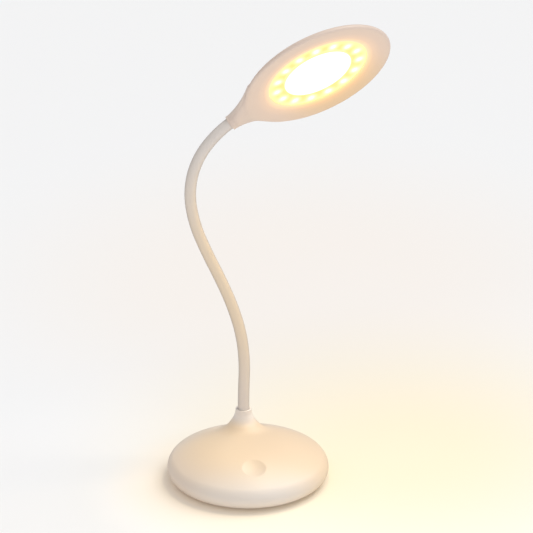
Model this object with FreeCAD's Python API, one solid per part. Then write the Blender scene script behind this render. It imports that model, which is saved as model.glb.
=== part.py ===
# Rechargeable gooseneck desk lamp, in millimetres, +Z up.
# The origin is the middle of the foot pad, on the desk. The touch dish on the base faces -Y.
import FreeCAD, Part
import math
import os

from FreeCAD import Matrix, Placement, Rotation, Vector

X_AXIS = Vector(1, 0, 0)
Y_AXIS = Vector(0, 1, 0)
Z_AXIS = Vector(0, 0, 1)

# Fits
RUNNING_FIT = 0.08
LOOSE_FIT = 0.2

# Base housing: a round pebble, widest a little above the desk
BASE_RADIUS = 65.0
WIDEST_Z = 10.0
DOME_RISE = 24.0
SHOULDER_RADIUS = 10.5
UNDERCUT_RADIUS = 8.0
BASE_WALL = 2.2
OPENING_STEP = 2.3
COVER_THICKNESS = 2.2
PAD_MARGIN = 2.7
PAD_THICKNESS = 1.2

# Trumpet collar that the neck comes out of
NECK_Y = 28.0
COLLAR_TOP_Z = 48.5
COLLAR_RADIUS = 6.4
COLLAR_DRAFT = 8.0
TRUMPET_FILLET = 14.5
COLLAR_LIP = 0.5
SLEEVE_INSERT = 10.0
NECK_BOSS_RADIUS = 9.0
NECK_BOSS_MARGIN = 0.3
NECK_BOSS_STEP = 0.5

# Touch dish pressed into the dome
DISH_Y = -38.5
DISH_RADIUS = 9.6
DISH_DEPTH = 1.6
DISH_EDGE = 1.0
DISH_BOSS_RADIUS = 10.5
DISH_BOSS_THICKNESS = 2.0
ELECTRODE_RADIUS = 8.0
ELECTRODE_THICKNESS = 0.4

# Screws of the base
CORNER_INSET = 22.2
CORNER_BOSS_RADIUS = 3.5
SCREW_RADIUS = 1.25
SCREW_HEAD_RADIUS = 2.4
SCREW_HEAD_HEIGHT = 1.1
SCREW_DEPTH = 9.0
CROSS_LENGTH = 1.2
CROSS_WIDTH = 0.3
CROSS_DEPTH = 0.5

# Counterweight
WEIGHT_MARGIN = 5.7
WEIGHT_THICKNESS = 10.0
WEIGHT_FRONT_Y = -22.0
WEIGHT_CHANNEL = 30.0
WEIGHT_POST_RADIUS = 3.2
WEIGHT_POST_HEIGHT = 6.0
WEIGHT_SCREW_RADIUS = 1.5
WEIGHT_SCREW_INSET = 11.0

# Battery
CELL_LENGTH = 54.0
CELL_WIDTH = 34.0
CELL_THICKNESS = 8.0
CELL_CORNER = 2.5
CELL_PAD = 0.8
CELL_CLEARANCE = 0.6

# Control board, under the dish
BOARD_LENGTH = 44.0
BOARD_WIDTH = 20.0
BOARD_THICKNESS = 1.6
BOARD_SHIFT = 0.5
BOARD_LIFT = 5.6
BOARD_SCREW_X = 19.0
BOARD_POST_RADIUS = 2.6
BOARD_SCREW_RADIUS = 1.0
CHIP_LENGTH = 5.0
CHIP_WIDTH = 4.0
CHIP_HEIGHT = 1.5
CHIP_X = -10.5
CHIP_DROP = 2.0
COIL_RADIUS = 3.0
COIL_HEIGHT = 3.5
COIL_X = 11.5
COIL_DROP = 3.0
CAPACITOR_RADIUS = 2.5
CAPACITOR_HEIGHT = 6.0
CAPACITOR_X = -13.5
CAPACITOR_RISE = 5.5

# Charging socket at the back
SOCKET_WIDTH = 8.9
SOCKET_HEIGHT = 3.2
SOCKET_LENGTH = 7.6
SOCKET_WALL = 0.3
SOCKET_RECESS = 0.8
TONGUE_WIDTH = 6.6
TONGUE_THICKNESS = 0.7
SOCKET_OVERHANG = 4.0
CHARGE_BOARD_WIDTH = 16.0
CHARGE_BOARD_LENGTH = 13.0
CHARGE_BOARD_THICKNESS = 1.2
CHARGE_POST_X = 6.0
CHARGE_POST_RADIUS = 1.8
CHARGE_CLEARANCE = 1.0

# Neck: a flexible metal hose in a soft sleeve, drawn as a chain of short links
LINK_LENGTH = 27.0
LINK_TURNS = [-2.5, 8.5, 10.0, 6.0, 2.5, -4.0, -12.0, -21.0, -24.0, -18.5]
NECK_TURN = 4.0
NECK_START = 90.0
SLEEVE_RADIUS = 4.6
SLEEVE_BORE = 3.0
HOSE_RADIUS = 2.8
HOSE_BORE = 1.7
WIRE_RADIUS = 1.3
JOINT_ANGLE = 25.0
CUP_MARGIN = 1.5

# Ends of the neck
BASE_FERRULE_RADIUS = 4.0
BASE_FERRULE_TAIL = 1.0
FERRULE_BORE = 2.85
FERRULE_FLANGE = 1.8
NUT_FLATS = 13.0
NUT_THICKNESS = 4.0
WASHER_RADIUS = 7.5
WASHER_THICKNESS = 0.8
HEAD_FERRULE_RADIUS = 3.4
HEAD_FERRULE_LENGTH = 11.0
HEAD_INSERT = 6.0
CLIP_THICKNESS = 1.0
CLIP_RADIUS = 4.1
CLIP_GAP = 3.0
CLIP_GROOVE = 0.35

# Head: a thin round disc with a short stem
HEAD_RADIUS = 62.5
HEAD_THICKNESS = 17.0
HEAD_EDGE = 2.4
HEAD_WALL = 1.6
FACE_DISH = 1.9
FACE_SKIRT = 1.3
STEM_REACH = 80.6
STEM_DEPTH = 3.2
STEM_TILT = 7.0
HEAD_ROLL = 53.1
STEM_RADIUS = 6.15
STEM_LENGTH = 1.5
PARTING_DEPTH = 2.4
STEM_CUT = 5.0
FLARE_END_REACH = 49.0
FLARE_END_WIDTH = 35.0
FLARE_END_DEPTH = 4.2
FLARE_RISE = 2.6
FLARE_CURVE = 1.3
FLARE_SHARES = [0.06, 0.25, 0.5, 0.75, 1.0]
STEM_WALL = 1.8
HOOK_COUNT = 6
HOOK_WIDTH = 4.0
HOOK_THICKNESS = 1.2
HOOK_LENGTH = 1.4

# Lamp unit in the head
LENS_RADIUS = 41.8
LENS_SINK = 0.3
FLANGE_LIP = 1.8
FLANGE_THICKNESS = 1.2
DIFFUSER_RADIUS = 28.4
DIFFUSER_THICKNESS = 1.0
TRAY_RADIUS = 38.6
LED_BOARD_RADIUS = 41.0
TRAY_DEPTH = 3.0
TRAY_WALL = 1.2
LED_BOARD_THICKNESS = 1.2
RING_LED_COUNT = 15
RING_LED_RADIUS = 35.4
LED_LENGTH = 3.5
LED_WIDTH = 2.8
LED_HEIGHT = 0.8
CENTRE_LED_REACHES = [9.0, 19.0]
CENTRE_LED_COUNTS = [4, 8]
LED_SCREW_COUNT = 3
LED_SCREW_REACH = 32.2
LED_SCREW_RADIUS = 0.9
LED_SCREW_HEAD = 1.7
LED_SCREW_GRIP = 1.6
LED_BOSS_RADIUS = 2.5

# Wiring
LEAD_BEND = 4.0
LEAD_LIFT = 2.6
LEAD_EDGE = 2.5
HEAD_LEAD_RUN = 10.0
HEAD_LEAD_TAIL = 3.0
HEAD_LEAD_BEND = 8.0
THIN_WIRE_RADIUS = 0.6
THIN_WIRE_BEND = 3.0
TOUCH_LEAD_REACH = 6.0
CHARGE_LEAD_X = 5.0
CHARGE_LEAD_EDGE = 1.5
BATTERY_LEAD_X = 7.5
BATTERY_LEAD_BEND = 1.5

parts = {}


# Small helpers


def polar(radius, degrees, z=0.0):
    angle = math.radians(degrees)
    return Vector(radius * math.cos(angle), radius * math.sin(angle), z)


def cylinder(radius, bottom, top, x=0.0, y=0.0):
    return Part.makeCylinder(radius, top - bottom, Vector(x, y, bottom))


def tube(radius, bore, bottom, top, x=0.0, y=0.0):
    return cylinder(radius, bottom, top, x, y).cut(cylinder(bore, bottom, top, x, y))


def block(length, width, bottom, top, x=0.0, y=0.0):
    corner = Vector(x - length / 2, y - width / 2, bottom)
    return Part.makeBox(length, width, top - bottom, corner)


def rounded_block(length, width, bottom, top, corner, x=0.0, y=0.0):
    body = block(length, width, bottom, top, x, y)
    upright = [edge for edge in body.Edges if abs(edge.tangentAt(edge.FirstParameter).z) > 0.99]
    return body.makeFillet(corner, upright)


def slot_block(width, height, start_y, end_y, z):
    """A bar along Y whose section is a slot with round ends."""
    half = (width - height) / 2
    middle = Part.makeBox(2 * half, end_y - start_y, height, Vector(-half, start_y, z - height / 2))
    for side in (-1, 1):
        end = Part.makeCylinder(height / 2, end_y - start_y, Vector(side * half, start_y, z), Y_AXIS)
        middle = middle.fuse(end)
    return middle.removeSplitter()


def join(shapes):
    body = shapes[0]
    for shape in shapes[1:]:
        body = body.fuse(shape)
    return body.removeSplitter()


def spun(edges):
    """The solid made by spinning a closed outline in the XZ plane about Z."""
    return Part.Face(Part.Wire(edges)).revolve(Vector(), Z_AXIS, 360)


def line(a, b):
    return Part.LineSegment(a, b).toShape()


def arc(centre, radius, start, end):
    """An arc in the XZ plane, its angles in degrees from +X towards +Z."""
    points = []
    for share in (0.0, 0.5, 1.0):
        angle = math.radians(start + share * (end - start))
        points.append(centre + Vector(radius * math.cos(angle), 0, radius * math.sin(angle)))
    return Part.Arc(*points).toShape()


def screw(radius, head_radius, head_height, tip):
    """A screw with its head's seat at z=0 and its tip below. The cross recess is sized by the head."""
    shank = cylinder(radius, -tip, 0)
    head = cylinder(head_radius, 0, head_height)
    length = head_radius * CROSS_LENGTH
    width = head_radius * CROSS_WIDTH
    floor = head_height * (1 - CROSS_DEPTH)
    cross = block(length, width, floor, head_height).fuse(block(width, length, floor, head_height))
    return join([shank, head]).cut(cross)


def placed(shape, placement):
    copy = shape.copy()
    copy.Placement = placement.multiply(copy.Placement)
    return copy


# Base housing

DOME_TOP_Z = WIDEST_Z + DOME_RISE
SHOULDER_REACH = BASE_RADIUS - SHOULDER_RADIUS
DOME_RADIUS = ((SHOULDER_REACH ** 2 + DOME_RISE ** 2 - SHOULDER_RADIUS ** 2)
               / (2 * (DOME_RISE - SHOULDER_RADIUS)))
DOME_CENTRE_Z = DOME_TOP_Z - DOME_RADIUS
SHELL_BOTTOM_Z = WIDEST_Z - UNDERCUT_RADIUS
OPENING_RADIUS = BASE_RADIUS - UNDERCUT_RADIUS - OPENING_STEP
PAD_RADIUS = OPENING_RADIUS - PAD_MARGIN
WEIGHT_RADIUS = OPENING_RADIUS - WEIGHT_MARGIN
WEIGHT_SCREW_REACH = WEIGHT_RADIUS - WEIGHT_SCREW_INSET
CORNER_REACH = OPENING_RADIUS - CORNER_INSET
BOARD_Y = DISH_Y + BOARD_SHIFT
COVER_BOTTOM_Z = PAD_THICKNESS
COVER_TOP_Z = COVER_BOTTOM_Z + COVER_THICKNESS
ELECTRODE_DEPTH = DISH_DEPTH + DISH_BOSS_THICKNESS
WEIGHT_TOP_Z = COVER_TOP_Z + WEIGHT_THICKNESS
BOARD_BOTTOM_Z = COVER_TOP_Z + BOARD_LIFT
BOARD_TOP_Z = BOARD_BOTTOM_Z + BOARD_THICKNESS
SOCKET_Z = WIDEST_Z
CHARGE_BOARD_TOP_Z = SOCKET_Z - SOCKET_HEIGHT / 2
CHARGE_BOARD_BOTTOM_Z = CHARGE_BOARD_TOP_Z - CHARGE_BOARD_THICKNESS
SOCKET_MOUTH_Y = BASE_RADIUS - SOCKET_RECESS
SOCKET_BACK_Y = SOCKET_MOUTH_Y - SOCKET_LENGTH
CHARGE_BOARD_Y = SOCKET_BACK_Y - SOCKET_OVERHANG
CORNERS = [(sx * CORNER_REACH, sy * CORNER_REACH) for sx in (-1, 1) for sy in (-1, 1)]


def dome_height(reach, inset=0.0):
    """Height of the dome at a distance from its middle, on a surface set in by inset."""
    radius = DOME_RADIUS - inset
    return DOME_CENTRE_Z + math.sqrt(radius ** 2 - reach ** 2)


def neck_boss_bottom():
    """The boss ends flat, on the last whole step below the dome's inner side at the washer's far edge."""
    inner = dome_height(NECK_Y + WASHER_RADIUS, BASE_WALL) - NECK_BOSS_MARGIN
    return NECK_BOSS_STEP * math.floor(inner / NECK_BOSS_STEP)


NECK_BOSS_BOTTOM = neck_boss_bottom()
BASE_FERRULE_BOTTOM = NECK_BOSS_BOTTOM - WASHER_THICKNESS - NUT_THICKNESS - BASE_FERRULE_TAIL


def pebble(inset):
    """The round of the base, with every wall set in by inset."""
    radius = DOME_RADIUS - inset
    steep = math.degrees(math.asin(SHOULDER_REACH / (DOME_RADIUS - SHOULDER_RADIUS)))
    low_reach = BASE_RADIUS - UNDERCUT_RADIUS
    bottom = WIDEST_Z - UNDERCUT_RADIUS + inset
    dome = arc(Vector(0, 0, DOME_CENTRE_Z), radius, 90, 90 - steep)
    shoulder = arc(Vector(SHOULDER_REACH, 0, WIDEST_Z), SHOULDER_RADIUS - inset, 90 - steep, 0)
    undercut = arc(Vector(low_reach, 0, WIDEST_Z), UNDERCUT_RADIUS - inset, 0, -90)
    floor = line(Vector(low_reach, 0, bottom), Vector(0, 0, bottom))
    middle = line(Vector(0, 0, bottom), Vector(0, 0, DOME_TOP_Z - inset))
    return spun([dome, shoulder, undercut, floor, middle])


def trumpet():
    """The pebble with its collar, flared into the dome."""
    height = COLLAR_TOP_Z - WIDEST_Z
    foot = COLLAR_RADIUS + height * math.tan(math.radians(COLLAR_DRAFT))
    stub = Part.makeCone(foot, COLLAR_RADIUS, height, Vector(0, NECK_Y, WIDEST_Z))
    body = pebble(0).fuse(stub)
    root_z = dome_height(NECK_Y)
    seams = [edge for edge in body.Edges
             if abs(edge.CenterOfMass.y - NECK_Y) < COLLAR_RADIUS
             and abs(edge.CenterOfMass.z - root_z) < COLLAR_RADIUS
             and edge.Length < 2 * math.pi * foot
             and edge.BoundBox.XLength > COLLAR_RADIUS]
    return body.makeFillet(TRUMPET_FILLET, seams)


def dish_frame():
    """A frame on the dome at the middle of the dish, with +Z square to the dome."""
    place = Vector(0, DISH_Y, dome_height(DISH_Y))
    outward = place - Vector(0, 0, DOME_CENTRE_Z)
    return Placement(place, Rotation(Z_AXIS, outward))


def dish_tool():
    """The ball that presses the touch dish into the dome."""
    ball = (DISH_RADIUS ** 2 + DISH_DEPTH ** 2) / (2 * DISH_DEPTH)
    return placed(Part.makeSphere(ball, Vector(0, 0, ball - DISH_DEPTH)), dish_frame())


def base_top_shell():
    dish = dish_tool()
    solid = trumpet().cut(dish)
    rims = [edge for edge in solid.Edges
            if abs(edge.BoundBox.XLength - 2 * DISH_RADIUS) < DISH_RADIUS / 2
            and edge.CenterOfMass.y < DISH_Y / 2 and edge.BoundBox.ZLength < DISH_RADIUS]
    solid = solid.makeFillet(DISH_EDGE, rims)
    shell = solid.cut(pebble(BASE_WALL))
    boss_limit = pebble(BASE_WALL / 2)
    bosses = [cylinder(CORNER_BOSS_RADIUS, COVER_TOP_Z, DOME_TOP_Z, x, y) for x, y in CORNERS]
    bosses.append(cylinder(NECK_BOSS_RADIUS, NECK_BOSS_BOTTOM, DOME_TOP_Z, 0, NECK_Y))
    bosses.append(placed(cylinder(DISH_BOSS_RADIUS, -ELECTRODE_DEPTH, DISH_DEPTH), dish_frame()))
    for boss in bosses:
        shell = shell.fuse(boss.common(boss_limit).cut(dish))
    for x, y in CORNERS:
        shell = shell.cut(cylinder(SCREW_RADIUS, COVER_TOP_Z, COVER_TOP_Z + SCREW_DEPTH, x, y))
    shell = shell.cut(cylinder(OPENING_RADIUS, 0, SHELL_BOTTOM_Z + BASE_WALL))
    sleeve_seat = COLLAR_TOP_Z - SLEEVE_INSERT
    shell = shell.cut(cylinder(SLEEVE_RADIUS + RUNNING_FIT, sleeve_seat - FERRULE_FLANGE, COLLAR_TOP_Z,
                               0, NECK_Y))
    mouth = Part.makeCone(SLEEVE_RADIUS, SLEEVE_RADIUS + 2 * COLLAR_LIP, 2 * COLLAR_LIP,
                          Vector(0, NECK_Y, COLLAR_TOP_Z - COLLAR_LIP))
    shell = shell.cut(mouth)
    shell = shell.cut(cylinder(BASE_FERRULE_RADIUS + RUNNING_FIT, 0, COLLAR_TOP_Z, 0, NECK_Y))
    socket_hole = slot_block(SOCKET_WIDTH + 2 * LOOSE_FIT, SOCKET_HEIGHT + 2 * LOOSE_FIT,
                             BASE_RADIUS - 3 * BASE_WALL, BASE_RADIUS + BASE_WALL, SOCKET_Z)
    return shell.cut(socket_hole).removeSplitter()


def weight_screw_places():
    return [Vector(-WEIGHT_SCREW_REACH, 0, 0), Vector(WEIGHT_SCREW_REACH, 0, 0)]


def board_post_places():
    return [Vector(side * BOARD_SCREW_X, BOARD_Y, 0) for side in (-1, 1)]


def charge_post_places():
    return [Vector(side * CHARGE_POST_X, CHARGE_BOARD_Y - CHARGE_BOARD_LENGTH / 2 + 2 * CHARGE_POST_RADIUS, 0)
            for side in (-1, 1)]


def base_bottom_cover():
    cover = cylinder(OPENING_RADIUS - LOOSE_FIT, COVER_BOTTOM_Z, COVER_TOP_Z)
    for place in weight_screw_places():
        post_top = COVER_TOP_Z + WEIGHT_POST_HEIGHT
        cover = cover.fuse(cylinder(WEIGHT_POST_RADIUS, COVER_TOP_Z, post_top, place.x, place.y))
        cover = cover.cut(cylinder(WEIGHT_SCREW_RADIUS, COVER_TOP_Z, post_top, place.x, place.y))
    for place in board_post_places():
        cover = cover.fuse(cylinder(BOARD_POST_RADIUS, COVER_TOP_Z, BOARD_BOTTOM_Z, place.x, place.y))
        cover = cover.cut(cylinder(BOARD_SCREW_RADIUS, COVER_TOP_Z, BOARD_BOTTOM_Z, place.x, place.y))
    for place in charge_post_places():
        cover = cover.fuse(cylinder(CHARGE_POST_RADIUS, COVER_TOP_Z, CHARGE_BOARD_BOTTOM_Z, place.x, place.y))
    for x, y in CORNERS:
        cover = cover.cut(cylinder(SCREW_RADIUS + LOOSE_FIT, COVER_BOTTOM_Z, COVER_TOP_Z, x, y))
        seat = COVER_BOTTOM_Z + SCREW_HEAD_HEIGHT
        cover = cover.cut(cylinder(SCREW_HEAD_RADIUS + LOOSE_FIT, COVER_BOTTOM_Z, seat, x, y))
    return cover.removeSplitter()


def foot_pad():
    pad = cylinder(PAD_RADIUS, 0, PAD_THICKNESS)
    for x, y in CORNERS:
        pad = pad.cut(cylinder(SCREW_HEAD_RADIUS + 2 * LOOSE_FIT, 0, PAD_THICKNESS, x, y))
    return pad


def base_screws():
    seat = COVER_BOTTOM_Z + SCREW_HEAD_HEIGHT
    body = screw(SCREW_RADIUS, SCREW_HEAD_RADIUS, SCREW_HEAD_HEIGHT, SCREW_DEPTH)
    flipped = Rotation(X_AXIS, 180)
    return Part.Compound([placed(body, Placement(Vector(x, y, seat), flipped)) for x, y in CORNERS])


def counterweight():
    weight = cylinder(WEIGHT_RADIUS, COVER_TOP_Z, WEIGHT_TOP_Z)
    front = block(2 * BASE_RADIUS, BASE_RADIUS, COVER_TOP_Z, WEIGHT_TOP_Z,
                  0, WEIGHT_FRONT_Y - BASE_RADIUS / 2)
    window = rounded_block(CELL_LENGTH + 2 * CELL_CLEARANCE, CELL_WIDTH + 2 * CELL_CLEARANCE,
                           COVER_TOP_Z, WEIGHT_TOP_Z, CELL_CORNER)
    channel = block(WEIGHT_CHANNEL, -2 * WEIGHT_FRONT_Y, COVER_TOP_Z, WEIGHT_TOP_Z, 0, WEIGHT_FRONT_Y)
    weight = weight.cut(front).cut(window).cut(channel)
    notch_front = CHARGE_BOARD_Y - CHARGE_BOARD_LENGTH / 2 - CHARGE_CLEARANCE
    notch = block(CHARGE_BOARD_WIDTH + 2 * CHARGE_CLEARANCE, 2 * (BASE_RADIUS - notch_front),
                  COVER_TOP_Z, WEIGHT_TOP_Z, 0, BASE_RADIUS)
    weight = weight.cut(notch)
    for x, y in CORNERS:
        weight = weight.cut(cylinder(CORNER_BOSS_RADIUS + 2 * LOOSE_FIT, COVER_TOP_Z, WEIGHT_TOP_Z, x, y))
    for place in weight_screw_places():
        post_top = COVER_TOP_Z + WEIGHT_POST_HEIGHT + LOOSE_FIT
        weight = weight.cut(cylinder(WEIGHT_POST_RADIUS + LOOSE_FIT, COVER_TOP_Z, post_top, place.x, place.y))
        weight = weight.cut(cylinder(WEIGHT_SCREW_RADIUS + LOOSE_FIT, post_top, WEIGHT_TOP_Z,
                                     place.x, place.y))
    return weight


def counterweight_screws():
    body = screw(WEIGHT_SCREW_RADIUS, 2 * WEIGHT_SCREW_RADIUS, SCREW_HEAD_HEIGHT,
                 WEIGHT_THICKNESS - LOOSE_FIT)
    return Part.Compound([placed(body, Placement(place + Z_AXIS * WEIGHT_TOP_Z, Rotation()))
                          for place in weight_screw_places()])


def battery_cell():
    return rounded_block(CELL_LENGTH, CELL_WIDTH, COVER_TOP_Z + CELL_PAD,
                         COVER_TOP_Z + CELL_PAD + CELL_THICKNESS, CELL_CORNER)


def battery_pad():
    return block(CELL_LENGTH - 4 * CELL_CORNER, CELL_WIDTH - 4 * CELL_CORNER,
                 COVER_TOP_Z, COVER_TOP_Z + CELL_PAD)


def control_board():
    board = block(BOARD_LENGTH, BOARD_WIDTH, BOARD_BOTTOM_Z, BOARD_TOP_Z, 0, BOARD_Y)
    for place in board_post_places():
        board = board.cut(cylinder(BOARD_SCREW_RADIUS + LOOSE_FIT, BOARD_BOTTOM_Z, BOARD_TOP_Z,
                                   place.x, place.y))
    return board


def board_screws():
    body = screw(BOARD_SCREW_RADIUS, 2 * BOARD_SCREW_RADIUS, BOARD_SCREW_RADIUS, BOARD_LIFT)
    return Part.Compound([placed(body, Placement(place + Z_AXIS * BOARD_TOP_Z, Rotation()))
                          for place in board_post_places()])


def board_components():
    chip = block(CHIP_LENGTH, CHIP_WIDTH, BOARD_TOP_Z, BOARD_TOP_Z + CHIP_HEIGHT, CHIP_X, BOARD_Y - CHIP_DROP)
    coil = cylinder(COIL_RADIUS, BOARD_TOP_Z, BOARD_TOP_Z + COIL_HEIGHT, COIL_X, BOARD_Y - COIL_DROP)
    capacitor = cylinder(CAPACITOR_RADIUS, BOARD_TOP_Z, BOARD_TOP_Z + CAPACITOR_HEIGHT,
                         CAPACITOR_X, BOARD_Y + CAPACITOR_RISE)
    return Part.Compound([chip, coil, capacitor])


def touch_electrode():
    sheet = cylinder(ELECTRODE_RADIUS, -ELECTRODE_DEPTH - ELECTRODE_THICKNESS, -ELECTRODE_DEPTH)
    return placed(sheet, dish_frame())


def charge_board():
    return block(CHARGE_BOARD_WIDTH, CHARGE_BOARD_LENGTH, CHARGE_BOARD_BOTTOM_Z, CHARGE_BOARD_TOP_Z,
                 0, CHARGE_BOARD_Y)


def charge_socket():
    outside = slot_block(SOCKET_WIDTH, SOCKET_HEIGHT, SOCKET_BACK_Y, SOCKET_MOUTH_Y, SOCKET_Z)
    inside = slot_block(SOCKET_WIDTH - 2 * SOCKET_WALL, SOCKET_HEIGHT - 2 * SOCKET_WALL,
                        SOCKET_BACK_Y + 2 * SOCKET_WALL, SOCKET_MOUTH_Y, SOCKET_Z)
    return outside.cut(inside)


def socket_tongue():
    back = SOCKET_BACK_Y + 2 * SOCKET_WALL
    length = SOCKET_MOUTH_Y - SOCKET_RECESS - back
    return Part.makeBox(TONGUE_WIDTH, length, TONGUE_THICKNESS,
                        Vector(-TONGUE_WIDTH / 2, back, SOCKET_Z - TONGUE_THICKNESS / 2))


# Neck

NECK_FRAME = Placement(Vector(0, NECK_Y, COLLAR_TOP_Z), Rotation(Z_AXIS, NECK_TURN))


def neck_stations():
    """Each link's start point, direction in degrees, turn and bend radius, in the neck's own plane."""
    stations = []
    point = Vector()
    heading = NECK_START
    for turn in LINK_TURNS:
        stations.append((point, heading, turn))
        point = along(point, heading, turn, LINK_LENGTH)
        heading += turn
    stations.append((point, heading, 0.0))
    return stations


def unit(heading):
    angle = math.radians(heading)
    return Vector(math.cos(angle), 0, math.sin(angle))


def along(point, heading, turn, distance):
    """The point at a distance along a link that turns evenly over its length."""
    angle = math.radians(turn) * distance / LINK_LENGTH
    bend = LINK_LENGTH / math.radians(turn)
    start = math.radians(heading)
    dx = bend * (math.sin(start + angle) - math.sin(start))
    dz = bend * (math.cos(start) - math.cos(start + angle))
    return point + Vector(dx, 0, dz)


def link_rod(station, radius, start, end):
    """A round bar along one link, from one distance along it to another."""
    point, heading, turn = station
    begin = along(point, heading, turn, start)
    begin_heading = heading + turn * start / LINK_LENGTH
    bend = LINK_LENGTH / math.radians(turn)
    centre = point + unit(heading + 90) * bend
    disc = Part.Face(Part.Wire(Part.Circle(begin, unit(begin_heading), radius).toShape()))
    return disc.revolve(centre, Y_AXIS * -1, turn * (end - start) / LINK_LENGTH)


def half_ball(centre, heading, radius):
    return Part.makeSphere(radius, centre, unit(heading), -90, 0, 360)


CUP_DROP = SLEEVE_RADIUS * math.sin(math.radians(JOINT_ANGLE + CUP_MARGIN))
BALL_BOTTOM = math.sqrt(SLEEVE_RADIUS ** 2 - SLEEVE_BORE ** 2)
HOSE_STOP = SLEEVE_RADIUS + LOOSE_FIT
STATIONS = neck_stations()
LINK_COUNT = len(LINK_TURNS)


def sleeve(index):
    """One link of the soft sleeve, with a ball below and a cup above."""
    station = STATIONS[index]
    point, heading, turn = station
    first = index == 0
    last = index == LINK_COUNT - 1
    body = link_rod(station, SLEEVE_RADIUS, 0, LINK_LENGTH if last else LINK_LENGTH - CUP_DROP)
    bore = link_rod(station, SLEEVE_BORE, 0, LINK_LENGTH)
    if first:
        tail = Part.makeCylinder(SLEEVE_RADIUS, SLEEVE_INSERT, point, unit(heading) * -1)
    else:
        tail = half_ball(point, heading, SLEEVE_RADIUS)
    tail_bore = Part.makeCylinder(SLEEVE_BORE, SLEEVE_INSERT, point, unit(heading) * -1)
    body = body.fuse(tail)
    if last:
        end, end_heading, _ = STATIONS[-1]
        body = body.fuse(Part.makeCylinder(SLEEVE_RADIUS, HEAD_INSERT, end, unit(end_heading)))
        bore = bore.fuse(Part.makeCylinder(SLEEVE_BORE, HEAD_INSERT, end, unit(end_heading)))
    else:
        next_point = STATIONS[index + 1][0]
        body = body.cut(Part.makeSphere(SLEEVE_RADIUS + RUNNING_FIT, next_point))
    return placed(body.cut(bore).cut(tail_bore).removeSplitter(), NECK_FRAME)


def hose(index):
    """One link of the metal hose inside the sleeve."""
    station = STATIONS[index]
    point, heading, turn = station
    first = index == 0
    last = index == LINK_COUNT - 1
    end = LINK_LENGTH if last else LINK_LENGTH - HOSE_STOP
    down = COLLAR_TOP_Z - BASE_FERRULE_BOTTOM - 2 * LOOSE_FIT if first else BALL_BOTTOM - LOOSE_FIT
    pieces = [[], []]
    for pile, radius in zip(pieces, (HOSE_RADIUS, HOSE_BORE)):
        pile.append(link_rod(station, radius, 0, end))
        pile.append(Part.makeCylinder(radius, down, point, unit(heading) * -1))
        if last:
            tip, tip_heading, _ = STATIONS[-1]
            up = HEAD_INSERT + HEAD_FERRULE_LENGTH - LOOSE_FIT
            pile.append(Part.makeCylinder(radius, up, tip, unit(tip_heading)))
    return placed(join(pieces[0]).cut(join(pieces[1])), NECK_FRAME)


def base_ferrule():
    seat = COLLAR_TOP_Z - SLEEVE_INSERT
    flange = cylinder(SLEEVE_RADIUS, seat - FERRULE_FLANGE, seat, 0, NECK_Y)
    stem = cylinder(BASE_FERRULE_RADIUS, BASE_FERRULE_BOTTOM, seat, 0, NECK_Y)
    return flange.fuse(stem).cut(cylinder(FERRULE_BORE, 0, seat, 0, NECK_Y)).removeSplitter()


def neck_washer():
    return tube(WASHER_RADIUS, BASE_FERRULE_RADIUS + RUNNING_FIT,
                NECK_BOSS_BOTTOM - WASHER_THICKNESS, NECK_BOSS_BOTTOM, 0, NECK_Y)


def neck_nut():
    top = NECK_BOSS_BOTTOM - WASHER_THICKNESS
    corner = NUT_FLATS / math.sqrt(3)
    points = [polar(corner, 60 * side, top - NUT_THICKNESS) + Y_AXIS * NECK_Y for side in range(7)]
    prism = Part.Face(Part.makePolygon(points)).extrude(Z_AXIS * NUT_THICKNESS)
    return prism.cut(cylinder(BASE_FERRULE_RADIUS + RUNNING_FIT, 0, COLLAR_TOP_Z, 0, NECK_Y))


# Head, in its own frame: +X runs from the stem to the tip, +Z is the way the light shines


def head_frame():
    """Places the head on the end of the neck, tilted on its stem and rolled about it."""
    tip, heading, _ = STATIONS[-1]
    stem = unit(heading)
    down = unit(heading - 90)
    roll = math.radians(HEAD_ROLL)
    tilt = math.radians(STEM_TILT)
    light = down * math.cos(roll) - Y_AXIS * math.sin(roll)
    forward = stem * math.cos(tilt) + light * math.sin(tilt)
    normal = light * math.cos(tilt) - stem * math.sin(tilt)
    side = normal.cross(forward)
    origin = tip + forward * STEM_REACH + normal * STEM_DEPTH
    turn = Matrix(forward.x, side.x, normal.x, origin.x,
                  forward.y, side.y, normal.y, origin.y,
                  forward.z, side.z, normal.z, origin.z,
                  0, 0, 0, 1)
    return NECK_FRAME.multiply(Placement(turn))


HEAD_FRAME = head_frame()
STEM_AXIS = Vector(math.cos(math.radians(STEM_TILT)), 0, -math.sin(math.radians(STEM_TILT)))
STEM_END = Vector(-STEM_REACH, 0, -STEM_DEPTH)
EDGE_REACH = HEAD_RADIUS - HEAD_EDGE
BACK_DROP = HEAD_THICKNESS - HEAD_EDGE
BACK_RADIUS = (EDGE_REACH ** 2 + BACK_DROP ** 2 - HEAD_EDGE ** 2) / (2 * (BACK_DROP - HEAD_EDGE))
BACK_CENTRE_Z = BACK_RADIUS - HEAD_THICKNESS
LENS_SEAT_Z = -FACE_DISH - HEAD_WALL
FACE_SLOPE = FACE_DISH / (EDGE_REACH - LENS_RADIUS)
FACE_INNER_RADIUS = LENS_RADIUS + (FACE_DISH + HEAD_WALL - PARTING_DEPTH) / FACE_SLOPE + FACE_SKIRT
FLANGE_RADIUS = LENS_RADIUS + FLANGE_LIP
LENS_BACK_Z = LENS_SEAT_Z - FLANGE_THICKNESS
TRAY_BACK_Z = LENS_BACK_Z - TRAY_DEPTH
LED_BOARD_BACK_Z = TRAY_BACK_Z - LED_BOARD_THICKNESS
CLIP_PLACE = HEAD_INSERT + STEM_WALL


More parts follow.
